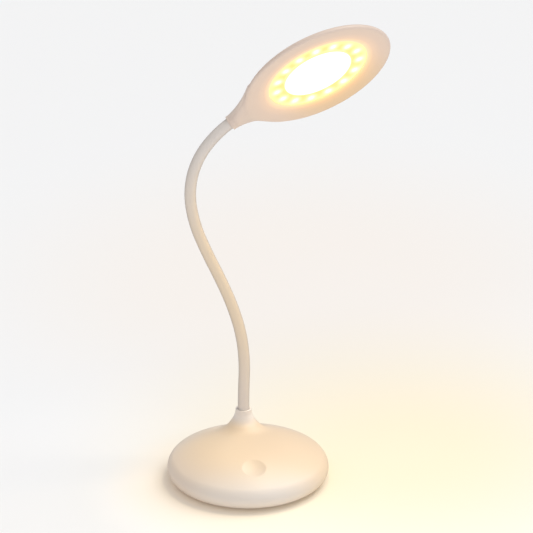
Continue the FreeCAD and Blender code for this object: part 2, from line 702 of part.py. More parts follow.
def disc(inset):
    """The round of the head, with every wall set in by inset."""
    steep = math.degrees(math.asin(EDGE_REACH / (BACK_RADIUS - HEAD_EDGE)))
    face_z = -FACE_DISH - inset
    edge_centre = Vector(EDGE_REACH, 0, -HEAD_EDGE)
    face_slope = math.degrees(math.atan(FACE_SLOPE))
    edge = arc(edge_centre, HEAD_EDGE - inset, 90 + face_slope, -90 + steep)
    back = arc(Vector(0, 0, BACK_CENTRE_Z), BACK_RADIUS - inset, -90 + steep, -90)
    rim_start = max((vertex.Point for vertex in edge.Vertexes), key=lambda point: point.z)
    hollow_edge = Vector(LENS_RADIUS + 3 * LENS_SINK, 0, face_z)
    slope = line(hollow_edge, rim_start)
    flat = line(Vector(0, 0, face_z), hollow_edge)
    middle = line(Vector(0, 0, -HEAD_THICKNESS + inset), Vector(0, 0, face_z))
    return spun([middle, flat, slope, edge, back])


def flare_section(share, inset):
    """One oval cross-section of the flared stem, at a share of the way from the stem to the disc."""
    start = STEM_END.x + STEM_LENGTH
    x = start + share * (-FLARE_END_REACH - start)
    half_width = STEM_RADIUS + (FLARE_END_WIDTH - STEM_RADIUS) * share ** FLARE_CURVE - inset
    half_depth = STEM_RADIUS + (FLARE_END_DEPTH - STEM_RADIUS) * share ** 2 - inset
    stem_z = STEM_END.z - (x - STEM_END.x) * math.tan(math.radians(STEM_TILT))
    middle = Vector(x, 0, stem_z + FLARE_RISE * share ** 2)
    oval = Part.Ellipse(middle + Y_AXIS * half_width, middle + Z_AXIS * half_depth, middle)
    return Part.Wire(oval.toShape())


def flare(inset):
    """The stem where it spreads into the disc."""
    start = STEM_END + STEM_AXIS * (STEM_LENGTH)
    ring = Part.Wire(Part.Circle(start, STEM_AXIS, STEM_RADIUS - inset).toShape())
    ovals = [flare_section(share, inset) for share in FLARE_SHARES]
    return Part.makeLoft([ring] + ovals, True, False)


def head_solid(inset):
    stem = Part.makeCylinder(STEM_RADIUS - inset, STEM_LENGTH, STEM_END, STEM_AXIS)
    return disc(inset).fuse(flare(inset)).fuse(stem)


def head_halves():
    """The head's skin, parted into a face shell and a back shell that keeps the whole stem end."""
    root = Part.makeCylinder(2 * STEM_RADIUS, HEAD_INSERT + STEM_WALL, STEM_END, STEM_AXIS)
    seat = Part.makeCylinder(SLEEVE_RADIUS + RUNNING_FIT, HEAD_INSERT, STEM_END, STEM_AXIS)
    through = Part.makeCylinder(HEAD_FERRULE_RADIUS + RUNNING_FIT, HEAD_INSERT + HEAD_FERRULE_LENGTH,
                                STEM_END, STEM_AXIS)
    skin = head_solid(0).cut(disc(HEAD_WALL)).cut(flare(HEAD_WALL).cut(root)).cut(seat).cut(through)
    half = HEAD_RADIUS + HEAD_EDGE
    cut_x = -STEM_REACH + STEM_CUT
    front = Part.makeBox(half - cut_x, 2 * half, HEAD_THICKNESS, Vector(cut_x, -half, -PARTING_DEPTH))
    front = front.fuse(cylinder(FACE_INNER_RADIUS, LENS_SEAT_Z - LOOSE_FIT, 0))
    return skin.common(front), skin.cut(front)


def hook_block(angle):
    """A small catch at the disc's edge, reaching into the back shell."""
    reach = EDGE_REACH - HEAD_WALL - HOOK_THICKNESS
    hook = Part.makeBox(HOOK_THICKNESS, HOOK_WIDTH, PARTING_DEPTH + HOOK_LENGTH,
                        Vector(reach - HOOK_THICKNESS, -HOOK_WIDTH / 2, -PARTING_DEPTH - HOOK_LENGTH))
    hook.rotate(Vector(), Z_AXIS, angle)
    return hook


def head_face_shell(face):
    for index in range(HOOK_COUNT):
        hook = hook_block(360 / HOOK_COUNT * (index + 0.5))
        face = face.fuse(hook.common(head_solid(HEAD_WALL / 2)))
    opening = cylinder(LENS_RADIUS + RUNNING_FIT, -HEAD_THICKNESS, HEAD_THICKNESS)
    return face.cut(opening).removeSplitter()


def led_screw_places():
    start = 180 / RING_LED_COUNT
    return [polar(LED_SCREW_REACH, start + 360 / LED_SCREW_COUNT * index) for index in range(LED_SCREW_COUNT)]


def head_back_shell(back):
    for place in led_screw_places():
        boss = cylinder(LED_BOSS_RADIUS, -HEAD_THICKNESS, LED_BOARD_BACK_Z, place.x, place.y)
        boss = boss.common(head_solid(HEAD_WALL / 2))
        pilot = cylinder(LED_SCREW_RADIUS, LED_BOARD_BACK_Z - LED_SCREW_GRIP, LED_BOARD_BACK_Z,
                         place.x, place.y)
        back = back.fuse(boss).cut(pilot)
    return back.removeSplitter()


def stem_frame(distance):
    """A frame on the stem's axis with +Z along it, at a distance in from the stem's end."""
    turn = Rotation(Z_AXIS, STEM_AXIS)
    return Placement(STEM_END + STEM_AXIS * distance, turn)


def head_ferrule():
    body = tube(HEAD_FERRULE_RADIUS, FERRULE_BORE, 0, HEAD_FERRULE_LENGTH)
    groove_start = CLIP_PLACE - HEAD_INSERT
    groove = tube(HEAD_FERRULE_RADIUS, HEAD_FERRULE_RADIUS - CLIP_GROOVE, groove_start,
                  groove_start + CLIP_THICKNESS)
    return placed(body.cut(groove), stem_frame(HEAD_INSERT))


def neck_clip():
    """The snap ring in the ferrule's groove, which stops the neck pulling out of the head."""
    ring = tube(CLIP_RADIUS, HEAD_FERRULE_RADIUS - CLIP_GROOVE + RUNNING_FIT, 0, CLIP_THICKNESS)
    gap = block(CLIP_RADIUS, CLIP_GAP, 0, CLIP_THICKNESS, CLIP_RADIUS)
    return placed(ring.cut(gap), stem_frame(CLIP_PLACE))


def lens():
    front = cylinder(LENS_RADIUS, LENS_SEAT_Z, -FACE_DISH - LENS_SINK)
    flange = cylinder(FLANGE_RADIUS, LENS_BACK_Z, LENS_SEAT_Z)
    return front.fuse(flange).removeSplitter()


def diffuser():
    return cylinder(DIFFUSER_RADIUS, LENS_BACK_Z - DIFFUSER_THICKNESS, LENS_BACK_Z)


def ring_led_places():
    return [(polar(RING_LED_RADIUS, 360 / RING_LED_COUNT * index), 360 / RING_LED_COUNT * index)
            for index in range(RING_LED_COUNT)]


def led_chip(place, angle, spare=0.0):
    chip = block(LED_WIDTH + 2 * spare, LED_LENGTH + 2 * spare, TRAY_BACK_Z, TRAY_BACK_Z + LED_HEIGHT + spare)
    chip.rotate(Vector(), Z_AXIS, angle)
    chip.translate(place)
    return chip


def reflector_tray():
    """The white tray between board and lens, with a window for each lamp and a well for the diffuser."""
    inner = DIFFUSER_RADIUS + RUNNING_FIT
    floor = cylinder(TRAY_RADIUS, TRAY_BACK_Z, TRAY_BACK_Z + TRAY_WALL)
    rim = tube(TRAY_RADIUS, TRAY_RADIUS - TRAY_WALL, TRAY_BACK_Z, LENS_BACK_Z)
    well = tube(inner + TRAY_WALL, inner - TRAY_WALL, TRAY_BACK_Z, LENS_BACK_Z)
    tray = join([floor, rim, well])
    tray = tray.cut(cylinder(inner, LENS_BACK_Z - DIFFUSER_THICKNESS, LENS_BACK_Z))
    tray = tray.cut(cylinder(inner - TRAY_WALL, TRAY_BACK_Z, LENS_BACK_Z))
    for place, angle in ring_led_places():
        tray = tray.cut(led_chip(place, angle, 2 * LOOSE_FIT))
        tray = tray.cut(cylinder(LED_LENGTH / 2, TRAY_BACK_Z, TRAY_BACK_Z + TRAY_WALL, place.x, place.y))
    for place in led_screw_places():
        tray = tray.cut(cylinder(LED_SCREW_HEAD + LOOSE_FIT, TRAY_BACK_Z, LENS_BACK_Z - DIFFUSER_THICKNESS,
                                 place.x, place.y))
    return tray.removeSplitter()


def led_board():
    board = cylinder(LED_BOARD_RADIUS, LED_BOARD_BACK_Z, TRAY_BACK_Z)
    for place in led_screw_places():
        board = board.cut(cylinder(LED_SCREW_RADIUS + LOOSE_FIT, LED_BOARD_BACK_Z, TRAY_BACK_Z,
                                   place.x, place.y))
    return board


def ring_leds():
    return Part.Compound([led_chip(place, angle) for place, angle in ring_led_places()])


def centre_leds():
    chips = []
    for reach, count in zip(CENTRE_LED_REACHES, CENTRE_LED_COUNTS):
        for index in range(count):
            angle = 360 / count * index
            chips.append(led_chip(polar(reach, angle), angle))
    return Part.Compound(chips)


def led_screws():
    grip = LED_BOARD_THICKNESS + LED_SCREW_GRIP - LOOSE_FIT
    body = screw(LED_SCREW_RADIUS, LED_SCREW_HEAD, LED_SCREW_RADIUS, grip)
    return Part.Compound([placed(body, Placement(place + Z_AXIS * TRAY_BACK_Z, Rotation()))
                          for place in led_screw_places()])


# Wiring


def routed(points, bend):
    """A path of straight runs joined by arcs that just touch them, with every arc's radius printed."""
    edges = []
    start = points[0]
    for before, corner, after in zip(points, points[1:], points[2:]):
        into = (corner - before).normalize()
        out = (after - corner).normalize()
        turn = into.getAngle(out)
        reach = bend * math.tan(turn / 2)
        first = corner - into * reach
        last = corner + out * reach
        centre_way = (out - into).normalize()
        middle = corner + centre_way * (bend / math.cos(turn / 2) - bend)
        edges.append(line(start, first))
        edges.append(Part.Arc(first, middle, last).toShape())
        start = last
    edges.append(line(start, points[-1]))
    return edges


def swept(edges, radius):
    path = Part.Wire(edges)
    first = edges[0]
    start = first.Vertexes[0].Point
    way = (first.Vertexes[-1].Point - start).normalize()
    disc_face = Part.Face(Part.Wire(Part.Circle(start, way, radius).toShape()))
    return path.makePipe(disc_face), path.Length


LEAD_LANDING_Y = BOARD_Y + BOARD_WIDTH / 2 - LEAD_EDGE
LEAD_LEVEL_Z = WEIGHT_TOP_Z + LEAD_LIFT


def lead_wires():
    """The pair of leads from the control board, up the neck, to the lamp board."""
    base_points = [Vector(0, LEAD_LANDING_Y, BOARD_TOP_Z), Vector(0, LEAD_LANDING_Y, LEAD_LEVEL_Z),
                   Vector(0, NECK_Y, LEAD_LEVEL_Z), NECK_FRAME.Base]
    edges = routed(base_points, LEAD_BEND)
    for station in STATIONS[:-1]:
        point, heading, turn = station
        marks = [NECK_FRAME.multVec(along(point, heading, turn, LINK_LENGTH * share))
                 for share in (0, 0.5, 1)]
        edges.append(Part.Arc(*marks).toShape())
    landing = Vector(-TRAY_RADIUS, 0, TRAY_BACK_Z + WIRE_RADIUS)
    stem_points = [STEM_END, STEM_END + STEM_AXIS * HEAD_LEAD_RUN, landing - X_AXIS * HEAD_LEAD_TAIL, landing]
    edges += routed([HEAD_FRAME.multVec(point) for point in stem_points], HEAD_LEAD_BEND)
    solid, length = swept(edges, WIRE_RADIUS)
    ratio = solid.Volume / (math.pi * WIRE_RADIUS ** 2 * length)
    print("lead wires: length %.1f, volume ratio %.4f, bends %.1f and %.1f"
          % (length, ratio, LEAD_BEND, HEAD_LEAD_BEND))
    return solid


def touch_lead():
    """The wire from the control board up to the electrode."""
    frame = dish_frame()
    tip = frame.multVec(Vector(0, 0, -ELECTRODE_DEPTH - ELECTRODE_THICKNESS))
    bend = frame.multVec(Vector(0, 0, -ELECTRODE_DEPTH - TOUCH_LEAD_REACH))
    points = [Vector(0, bend.y, BOARD_TOP_Z), bend, tip]
    return swept(routed(points, THIN_WIRE_BEND), THIN_WIRE_RADIUS)[0]


def charge_leads():
    """Two wires from the charging board, over the counterweight, to the control board."""
    wires = []
    level = WEIGHT_TOP_Z + 2 * THIN_WIRE_RADIUS
    back_y = CHARGE_BOARD_Y - CHARGE_BOARD_LENGTH / 2 + CHARGE_LEAD_EDGE
    for side in (-1, 1):
        x = side * CHARGE_LEAD_X
        points = [Vector(x, back_y, CHARGE_BOARD_TOP_Z), Vector(x, back_y, level),
                  Vector(x, LEAD_LANDING_Y, level), Vector(x, LEAD_LANDING_Y, BOARD_TOP_Z)]
        wires.append(swept(routed(points, THIN_WIRE_BEND), THIN_WIRE_RADIUS)[0])
    return Part.Compound(wires)


def battery_leads():
    """Two wires from the front of the cell up on to the control board."""
    wires = []
    front_y = -CELL_WIDTH / 2
    rise_y = (front_y + BOARD_Y + BOARD_WIDTH / 2) / 2
    exit_z = COVER_TOP_Z + CELL_PAD + CELL_THICKNESS / 2
    lift = BOARD_TOP_Z + 2 * BATTERY_LEAD_BEND
    for side in (-1, 1):
        x = side * BATTERY_LEAD_X
        points = [Vector(x, front_y, exit_z), Vector(x, rise_y, exit_z), Vector(x, rise_y, lift),
                  Vector(x, LEAD_LANDING_Y, lift), Vector(x, LEAD_LANDING_Y, BOARD_TOP_Z)]
        wires.append(swept(routed(points, BATTERY_LEAD_BEND), THIN_WIRE_RADIUS)[0])
    return Part.Compound(wires)


# All pieces

parts["base_top_shell"] = base_top_shell()
parts["base_bottom_cover"] = base_bottom_cover()
parts["foot_pad"] = foot_pad()
parts["base_screws"] = base_screws()
parts["counterweight"] = counterweight()
parts["counterweight_screws"] = counterweight_screws()
parts["battery_cell"] = battery_cell()
parts["battery_pad"] = battery_pad()
parts["battery_leads"] = battery_leads()
parts["control_board"] = control_board()
parts["board_screws"] = board_screws()
parts["board_components"] = board_components()
parts["touch_electrode"] = touch_electrode()
parts["touch_lead"] = touch_lead()
parts["charge_board"] = charge_board()
parts["charge_socket"] = charge_socket()
parts["socket_tongue"] = socket_tongue()
parts["charge_leads"] = charge_leads()
parts["neck_base_ferrule"] = base_ferrule()
parts["neck_washer"] = neck_washer()
parts["neck_nut"] = neck_nut()
for number in range(LINK_COUNT):
    parts["neck_sleeve_%02d" % (number + 1)] = sleeve(number)
    parts["neck_hose_%02d" % (number + 1)] = hose(number)
parts["lead_wires"] = lead_wires()

face_half, back_half = head_halves()
head_parts = {
    "head_face_shell": head_face_shell(face_half),
    "head_back_shell": head_back_shell(back_half),
    "neck_head_ferrule": head_ferrule(),
    "neck_clip": neck_clip(),
    "lens": lens(),
    "centre_diffuser": diffuser(),
    "reflector_tray": reflector_tray(),
    "led_board": led_board(),
    "ring_leds": ring_leds(),
    "centre_leds": centre_leds(),
    "led_board_screws": led_screws(),
}
for name, shape in head_parts.items():
    parts[name] = placed(shape, HEAD_FRAME)

os.makedirs("parts", exist_ok=True)
for name, shape in parts.items():
    shape.exportStep("parts/%s.step" % name)
    print("%-22s solids %d  valid %s  volume %.1f" % (name, len(shape.Solids), shape.isValid(), shape.Volume))
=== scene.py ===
# Rechargeable gooseneck desk lamp: its looks, in metres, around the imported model.
import bmesh
import bpy
import math
import numpy as np
from mathutils import Matrix, Vector
from mathutils.geometry import delaunay_2d_cdt


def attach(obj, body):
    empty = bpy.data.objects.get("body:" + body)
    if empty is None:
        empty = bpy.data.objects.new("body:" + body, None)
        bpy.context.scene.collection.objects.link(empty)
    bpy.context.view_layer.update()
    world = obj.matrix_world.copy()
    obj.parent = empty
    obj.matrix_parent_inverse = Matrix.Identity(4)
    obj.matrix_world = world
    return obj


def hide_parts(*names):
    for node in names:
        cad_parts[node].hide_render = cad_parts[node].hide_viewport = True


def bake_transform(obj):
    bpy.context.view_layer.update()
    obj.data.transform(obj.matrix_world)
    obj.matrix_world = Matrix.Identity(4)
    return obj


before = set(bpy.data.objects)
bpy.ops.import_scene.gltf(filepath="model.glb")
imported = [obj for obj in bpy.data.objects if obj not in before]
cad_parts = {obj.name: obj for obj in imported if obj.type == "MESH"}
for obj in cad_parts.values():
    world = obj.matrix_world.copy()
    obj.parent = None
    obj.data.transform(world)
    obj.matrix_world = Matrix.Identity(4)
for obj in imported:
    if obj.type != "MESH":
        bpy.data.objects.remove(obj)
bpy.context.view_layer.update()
MM = 0.001

# Sizes shared with the solids, in millimetres
BASE_RADIUS = 65.0
WIDEST_Z = 10.0
SHOULDER_REACH = 54.5
SHOULDER_RADIUS = 10.5
UNDERCUT_RADIUS = 8.0
DOME_TOP_Z = 34.0
DOME_RADIUS = 127.33
DOME_REACH = SHOULDER_REACH * DOME_RADIUS / (DOME_RADIUS - SHOULDER_RADIUS)
OPENING_RADIUS = 54.7
BASE_WALL = 2.2
COLLAR_WALL = 0.9
DISH_WALL = 1.6
NECK_Y = 28.0
COLLAR_TOP_Z = 48.5
COLLAR_RADIUS = 6.4
BORE_RADIUS = 4.7
DISH_Y = -38.5
DISH_RADIUS = 9.6
DISH_DEPTH = 2.1
SOCKET_WIDTH = 9.3
SOCKET_HEIGHT = 3.6

LINK_LENGTH = 27.0
LINK_TURNS = [-2.5, 8.5, 10.0, 6.0, 2.5, -4.0, -12.0, -21.0, -24.0, -18.5]
LINK_STEPS = 8
NECK_TURN = 4.0
SLEEVE_RADIUS = 4.6
LEAD_RADIUS = 1.3

HEAD_RADIUS = 62.5
HEAD_THICKNESS = 17.0
HEAD_EDGE = 2.4
BACK_RADIUS = 156.49
STEM_REACH = 80.6
STEM_DEPTH = 3.2
STEM_TILT = 7.0
STEM_RADIUS = 6.15
STEM_LENGTH = 1.5
FLARE_END_REACH = 49.0
FLARE_END_WIDTH = 35.0
FLARE_END_DEPTH = 4.2
FLARE_RISE = 2.6
FLARE_CURVE = 1.3
HEAD_ROLL = 53.1
FACE_DISH = 1.9
LENS_RADIUS = 41.8
LENS_SEAT = 3.5
LENS_BACK = 4.7
DIFFUSER_RADIUS = 28.4
RING_LAMP_RADIUS = 35.4
RING_LAMP_COUNT = 15
PARTING_DEPTH = 2.4
STEM_CUT_X = 5.0 - STEM_REACH
RIM_BAND = 44.0
CORE_REACH = 50.0
INNER_LEVEL = -5.0
BACK_LEVEL = -22.0
GROOVE_HALF = 0.35
GROOVE_DEPTH = 0.3
HEAD_WALL = 1.3


# Places

def unit(heading):
    return np.array([math.cos(math.radians(heading)), 0.0, math.sin(math.radians(heading))])


def neck_place(local):
    """A point or direction of the neck's own plane, turned to where the neck stands."""
    turn = math.radians(NECK_TURN)
    x, y, z = local
    return np.array([x * math.cos(turn) - y * math.sin(turn),
                     x * math.sin(turn) + y * math.cos(turn), z])


def neck_stations():
    """Start and direction of each link in the neck's plane, and of its end."""
    stations, point, heading = [], np.zeros(3), 90.0
    for turn in LINK_TURNS:
        stations.append((point, heading, turn))
        point = along(point, heading, turn, LINK_LENGTH)
        heading += turn
    stations.append((point, heading, 0.0))
    return stations


def along(point, heading, turn, distance):
    angle = math.radians(turn) * distance / LINK_LENGTH
    bend = LINK_LENGTH / math.radians(turn)
    start = math.radians(heading)
    return point + np.array([bend * (math.sin(start + angle) - math.sin(start)), 0.0,
                             bend * (math.cos(start) - math.cos(start + angle))])


STATIONS = neck_stations()
NECK_FOOT = np.array([0.0, NECK_Y, COLLAR_TOP_Z])


def on_neck(link, distance):
    """A point on the neck's centre line and the line's direction there."""
    point, heading, turn = STATIONS[link]
    if turn == 0.0:
        return NECK_FOOT + neck_place(point + unit(heading) * distance), neck_place(unit(heading))
    place = along(point, heading, turn, distance)
    return NECK_FOOT + neck_place(place), neck_place(unit(heading + turn * distance / LINK_LENGTH))


def head_axes():
    """The head's middle and its directions: stem to tip, across, and the way the light shines."""
    tip, heading, _ = STATIONS[-1]
    roll, tilt = math.radians(HEAD_ROLL), math.radians(STEM_TILT)
    light = unit(heading - 90) * math.cos(roll) - np.array([0, 1, 0]) * math.sin(roll)
    forward = unit(heading) * math.cos(tilt) + light * math.sin(tilt)
    normal = light * math.cos(tilt) - unit(heading) * math.sin(tilt)
    side = np.cross(normal, forward)
    origin = NECK_FOOT + neck_place(tip + forward * STEM_REACH + normal * STEM_DEPTH)
    return origin, neck_place(forward), neck_place(side), neck_place(normal)


HEAD_ORIGIN, HEAD_FORWARD, HEAD_SIDE, HEAD_NORMAL = head_axes()
HEAD_TURN = np.stack([HEAD_FORWARD, HEAD_SIDE, HEAD_NORMAL], axis=1)


def head_place(points):
    return np.asarray(points) @ HEAD_TURN.T + HEAD_ORIGIN


# Meshes

def piece(name, points, faces, normals=None, material=None):
    """A mesh object from points in millimetres, with one normal for each corner of each face."""
    mesh = bpy.data.meshes.new(name)
    places = [tuple(p) for p in np.asarray(points) * MM]
    mesh.from_pydata(places, [], [tuple(int(i) for i in face) for face in faces])
    mesh.polygons.foreach_set("use_smooth", [True] * len(mesh.polygons))
    if normals is not None:
        mesh.normals_split_custom_set([tuple(n) for n in normals])
    if material:
        mesh.materials.append(material)
    obj = bpy.data.objects.new(name, mesh)
    bpy.context.scene.collection.objects.link(obj)
    return obj


def walled(points, faces, normals, thickness):
    """Doubles a skin into a wall of some thickness, and closes its open edges."""
    count = len(points)
    inner = points - normals * np.asarray(thickness).reshape(-1, 1)
    corner_normals = [normals[i] for face in faces for i in face]
    all_faces = list(faces)
    used = {edge: True for face in faces for edge in zip(face, face[1:] + face[:1])}
    for face in faces:
        inward = tuple(i + count for i in reversed(face))
        all_faces.append(inward)
        corner_normals += [-normals[i - count] for i in inward]
    both = np.vstack([points, inner])
    for a, b in used:
        if (b, a) not in used:
            quad = (b, a, a + count, b + count)
            flat = np.cross(both[quad[1]] - both[quad[0]], both[quad[2]] - both[quad[0]])
            all_faces.append(quad)
            corner_normals += [unit_rows(flat)] * 4
    return both, all_faces, corner_normals


def merged(points, faces, normals, gap=0.002):
    """Joins points that lie together, and drops faces that fold up."""
    keys, index, order = {}, [], []
    for number, point in enumerate(points):
        key = tuple(np.round(point / gap).astype(int))
        if key not in keys:
            keys[key] = len(order)
            order.append(number)
        index.append(keys[key])
    tidy = []
    for face in faces:
        ring = [index[i] for i in face]
        ring = [v for n, v in enumerate(ring) if v != ring[n - 1]]
        if len(ring) > 2:
            tidy.append(tuple(ring))
    return points[order], tidy, normals[order]


def ring_faces(rings, sides):
    """Faces between rings of points, each closed round its sides."""
    faces = []
    for start in range(0, (rings - 1) * sides, sides):
        for side in range(sides):
            here, beside = start + side, start + (side + 1) % sides
            faces.append((here, beside, beside + sides, here + sides))
    return faces


def circle(radius, count, x=0.0, y=0.0, start=0.0):
    turns = start + np.arange(count) * 2 * math.pi / count
    return np.stack([x + radius * np.cos(turns), y + radius * np.sin(turns)], axis=1)


def arc(reach, height, radius, turns):
    """Points of a rounded edge, each with the way it faces."""
    ways = [(math.cos(turn), math.sin(turn)) for turn in turns]
    return [(reach + radius * out, height + radius * up, out, up) for out, up in ways]


def spun(profile, sides, start, across, beside, axis):
    """A profile of (radius, run, out, ahead) turned about an axis: points, faces and normals."""
    start, across = np.array(start), np.array(across)
    points, normals = [], []
    for radius, run, out, ahead in profile:
        for x, y in circle(1.0, sides):
            way = across * x + beside * y
            points.append(start + axis * run + way * radius)
            normals.append((way * out + axis * ahead) / math.hypot(out, ahead))
    return np.array(points), ring_faces(len(profile), sides), np.array(normals)


def flipped(faces):
    return [tuple(reversed(face)) for face in faces]


def triangulated(points, loops, holes):
    """Triangles over flat points, inside the outer loop and outside the holes."""
    verts = [Vector((float(x), float(y))) for x, y in points]
    edges = [pair for loop in loops + holes for pair in zip(loop, loop[1:] + loop[:1])]
    out, _, faces, _, _, _ = delaunay_2d_cdt(verts, edges, [], 1, 1e-6)
    flat = np.array([tuple(v) for v in out])
    outlines = [np.array([points[i] for i in hole]) for hole in holes]
    kept = []
    for face in faces:
        middle = flat[list(face)].mean(0)
        if not any(inside(outline, middle) for outline in outlines):
            kept.append(tuple(face))
    return flat, kept


def inside(outline, point):
    x, y = point
    a, b = outline, np.roll(outline, -1, axis=0)
    crosses = (a[:, 1] > y) != (b[:, 1] > y)
    with np.errstate(divide="ignore", invalid="ignore"):
        reach = (b[:, 0] - a[:, 0]) * (y - a[:, 1]) / (b[:, 1] - a[:, 1]) + a[:, 0]
    return (np.sum(crosses & (x < reach)) % 2) == 1


def unit_rows(ways):
    return ways / (np.linalg.norm(ways, axis=-1, keepdims=True) + 1e-12)


def smooth_step(low, high, value):
    share = np.clip((value - low) / (high - low), 0, 1)
    return share * share * (3 - 2 * share)


def soft_max(a, b, blend):
    share = np.maximum(blend - np.abs(a - b), 0) / blend
    return np.maximum(a, b) + share * share * blend / 4


# Base shell

TRUMPET_RADIUS = 18.0
TRUMPET_REACH = 24.2
TRUMPET_FOOT = 6.75


def dome(x, y):
    return DOME_TOP_Z - DOME_RADIUS + np.sqrt(DOME_RADIUS ** 2 - x ** 2 - y ** 2)


def base_height(x, y):
    """Height of the base's upper side: dome, flared trumpet and pressed dish."""
    reach = np.hypot(x, y - NECK_Y)
    level = smooth_step(14.0, TRUMPET_FOOT, reach)
    flare = TRUMPET_RADIUS - np.sqrt(np.maximum(
        TRUMPET_RADIUS ** 2 - np.maximum(TRUMPET_REACH - reach, 0) ** 2, 0))
    tilt = math.asin(-DISH_Y / DOME_RADIUS)
    across = np.hypot(x, (y - DISH_Y) / math.cos(tilt)) / DISH_RADIUS
    dip = soft_max(1 - across ** 2, np.zeros_like(across), 0.12)
    return (dome(x, y) * (1 - level) + dome(0.0, NECK_Y) * level + flare
            - DISH_DEPTH / math.cos(tilt) * dip)


def base_top():
    """Points, faces and normals of the upper side, out to where the shoulder begins."""
    edge_count, foot_count, spacing = 240, 96, 2.6
    flare_rings, flare_band, dish_rings, dish_band = 22, 19.0, 23, 13.5
    sets = [circle(DOME_REACH, edge_count), circle(TRUMPET_FOOT, foot_count, 0, NECK_Y)]
    for step in range(1, flare_rings + 1):
        reach = TRUMPET_FOOT + flare_band * (step / flare_rings) ** 1.5
        sets.append(circle(reach, foot_count, 0, NECK_Y, step * 0.03))
    for step in range(dish_rings + 1):
        reach = max(0.01, dish_band * step / dish_rings)
        sets.append(circle(reach, max(1, 5 * step), 0, DISH_Y, step * 0.21))
    rows = int(2 * DOME_REACH / (spacing * 0.866)) + 2
    for row in range(rows):
        y = -DOME_REACH + spacing * row * 0.866
        for column in range(rows):
            x = -DOME_REACH + spacing * (column + 0.5 * (row % 2))
            if (math.hypot(x, y) < DOME_REACH - 1.2
                    and math.hypot(x, y - NECK_Y) > TRUMPET_FOOT + flare_band + 0.85
                    and math.hypot(x, y - DISH_Y) > dish_band + 0.9):
                sets.append(np.array([(x, y)]))
    flat = np.vstack(sets)
    inner = list(range(edge_count, edge_count + foot_count))
    flat, faces = triangulated(flat, [list(range(edge_count))], [inner])
    x, y = flat[:, 0], flat[:, 1]
    points = np.stack([x, y, base_height(x, y)], axis=1)
    step = 0.02
    slope_x = (base_height(x + step, y) - base_height(x - step, y)) / (2 * step)
    slope_y = (base_height(x, y + step) - base_height(x, y - step)) / (2 * step)
    normals = np.stack([-slope_x, -slope_y, np.ones_like(x)], axis=1)
    return points, faces, unit_rows(normals)


def base_side():
    """The shoulder, the undercut and the flat rim, with the charging socket's mouth at the back."""
    steep, steps = math.acos(SHOULDER_REACH / (DOME_RADIUS - SHOULDER_RADIUS)), 16
    shoulder = [steep * (1 - step / steps) for step in range(steps + 1)]
    undercut = [-math.pi / 2 * step / steps for step in range(1, steps + 1)]
    profile = np.array(arc(SHOULDER_REACH, WIDEST_Z, SHOULDER_RADIUS, shoulder)
                       + arc(BASE_RADIUS - UNDERCUT_RADIUS, WIDEST_Z, UNDERCUT_RADIUS, undercut)
                       + [(OPENING_RADIUS, WIDEST_Z - UNDERCUT_RADIUS, 0.0, -1.0)])
    run = np.concatenate([[0], np.cumsum(np.hypot(np.diff(profile[:, 0]), np.diff(profile[:, 1])))])
    middle = np.interp(-WIDEST_Z, -profile[:, 1], run)
    count = 240
    turns = np.arange(count + 1) * 2 * math.pi / count - math.pi / 2
    flat = [(turn * BASE_RADIUS, v) for v in run for turn in turns]
    centre = math.pi / 2 * BASE_RADIUS
    half = (SOCKET_WIDTH - SOCKET_HEIGHT) / 2
    mouth = []
    for side in (1, -1):
        ends = [math.radians(180 * step / 8 - 90 * side) for step in range(9)]
        mouth += [p[:2] for p in arc(centre + side * half, middle, SOCKET_HEIGHT / 2, ends)]
    clear = [p for p in flat if max(abs(p[0] - centre) - half, 0) ** 2 + (p[1] - middle) ** 2
             > (SOCKET_HEIGHT / 2 + 0.5) ** 2]
    sheet = np.array(clear + mouth)
    left, right = turns[0] * BASE_RADIUS, turns[-1] * BASE_RADIUS

    def sheet_side(on_side, axis, sign):
        side = [i for i, p in enumerate(sheet) if on_side(p)]
        return sorted(side, key=lambda i: sign * sheet[i][axis])

    loop = (sheet_side(lambda p: p[1] == 0.0, 0, 1)
            + sheet_side(lambda p: p[0] == right and 0 < p[1] < run[-1], 1, 1)
            + sheet_side(lambda p: p[1] == run[-1], 0, -1)
            + sheet_side(lambda p: p[0] == left and 0 < p[1] < run[-1], 1, -1))
    hole = list(range(len(clear), len(sheet)))
    flat, faces = triangulated(sheet, [loop], [hole])
    turn = flat[:, 0] / BASE_RADIUS
    radius, height, out, up = (np.interp(flat[:, 1], run, profile[:, i]) for i in range(4))
    points = np.stack([radius * np.cos(turn), radius * np.sin(turn), height], axis=1)
    normals = np.stack([out * np.cos(turn), out * np.sin(turn), up], axis=1)
    return points, flipped(faces), unit_rows(normals)


def collar():
    """The trumpet's end: a near-upright cone with a rounded lip that turns into the neck's bore."""
    foot_z = float(base_height(np.array([TRUMPET_FOOT]), np.array([NECK_Y]))[0])
    foot_slope, lip, steps = math.radians(72), 0.45, 6
    profile = [(TRUMPET_FOOT, foot_z, math.sin(foot_slope), math.cos(foot_slope))]
    for step in range(1, steps + 1):
        share = step / steps
        profile.append((TRUMPET_FOOT + (COLLAR_RADIUS - TRUMPET_FOOT) * share,
                        foot_z + (COLLAR_TOP_Z - lip - foot_z) * share, 0.985, 0.17 * (1 - share)))
    profile += arc(COLLAR_RADIUS - lip, COLLAR_TOP_Z - lip, lip, np.radians((30, 60, 90)))
    profile.append((BORE_RADIUS + lip, COLLAR_TOP_Z, 0.0, 1.0))
    profile += arc(BORE_RADIUS + lip, COLLAR_TOP_Z - lip, lip, np.radians((120, 150, 180)))
    profile.append((BORE_RADIUS, COLLAR_TOP_Z - 8.0, -1.0, 0.0))
    return spun(profile, 96, (0, NECK_Y, 0), *np.eye(3))


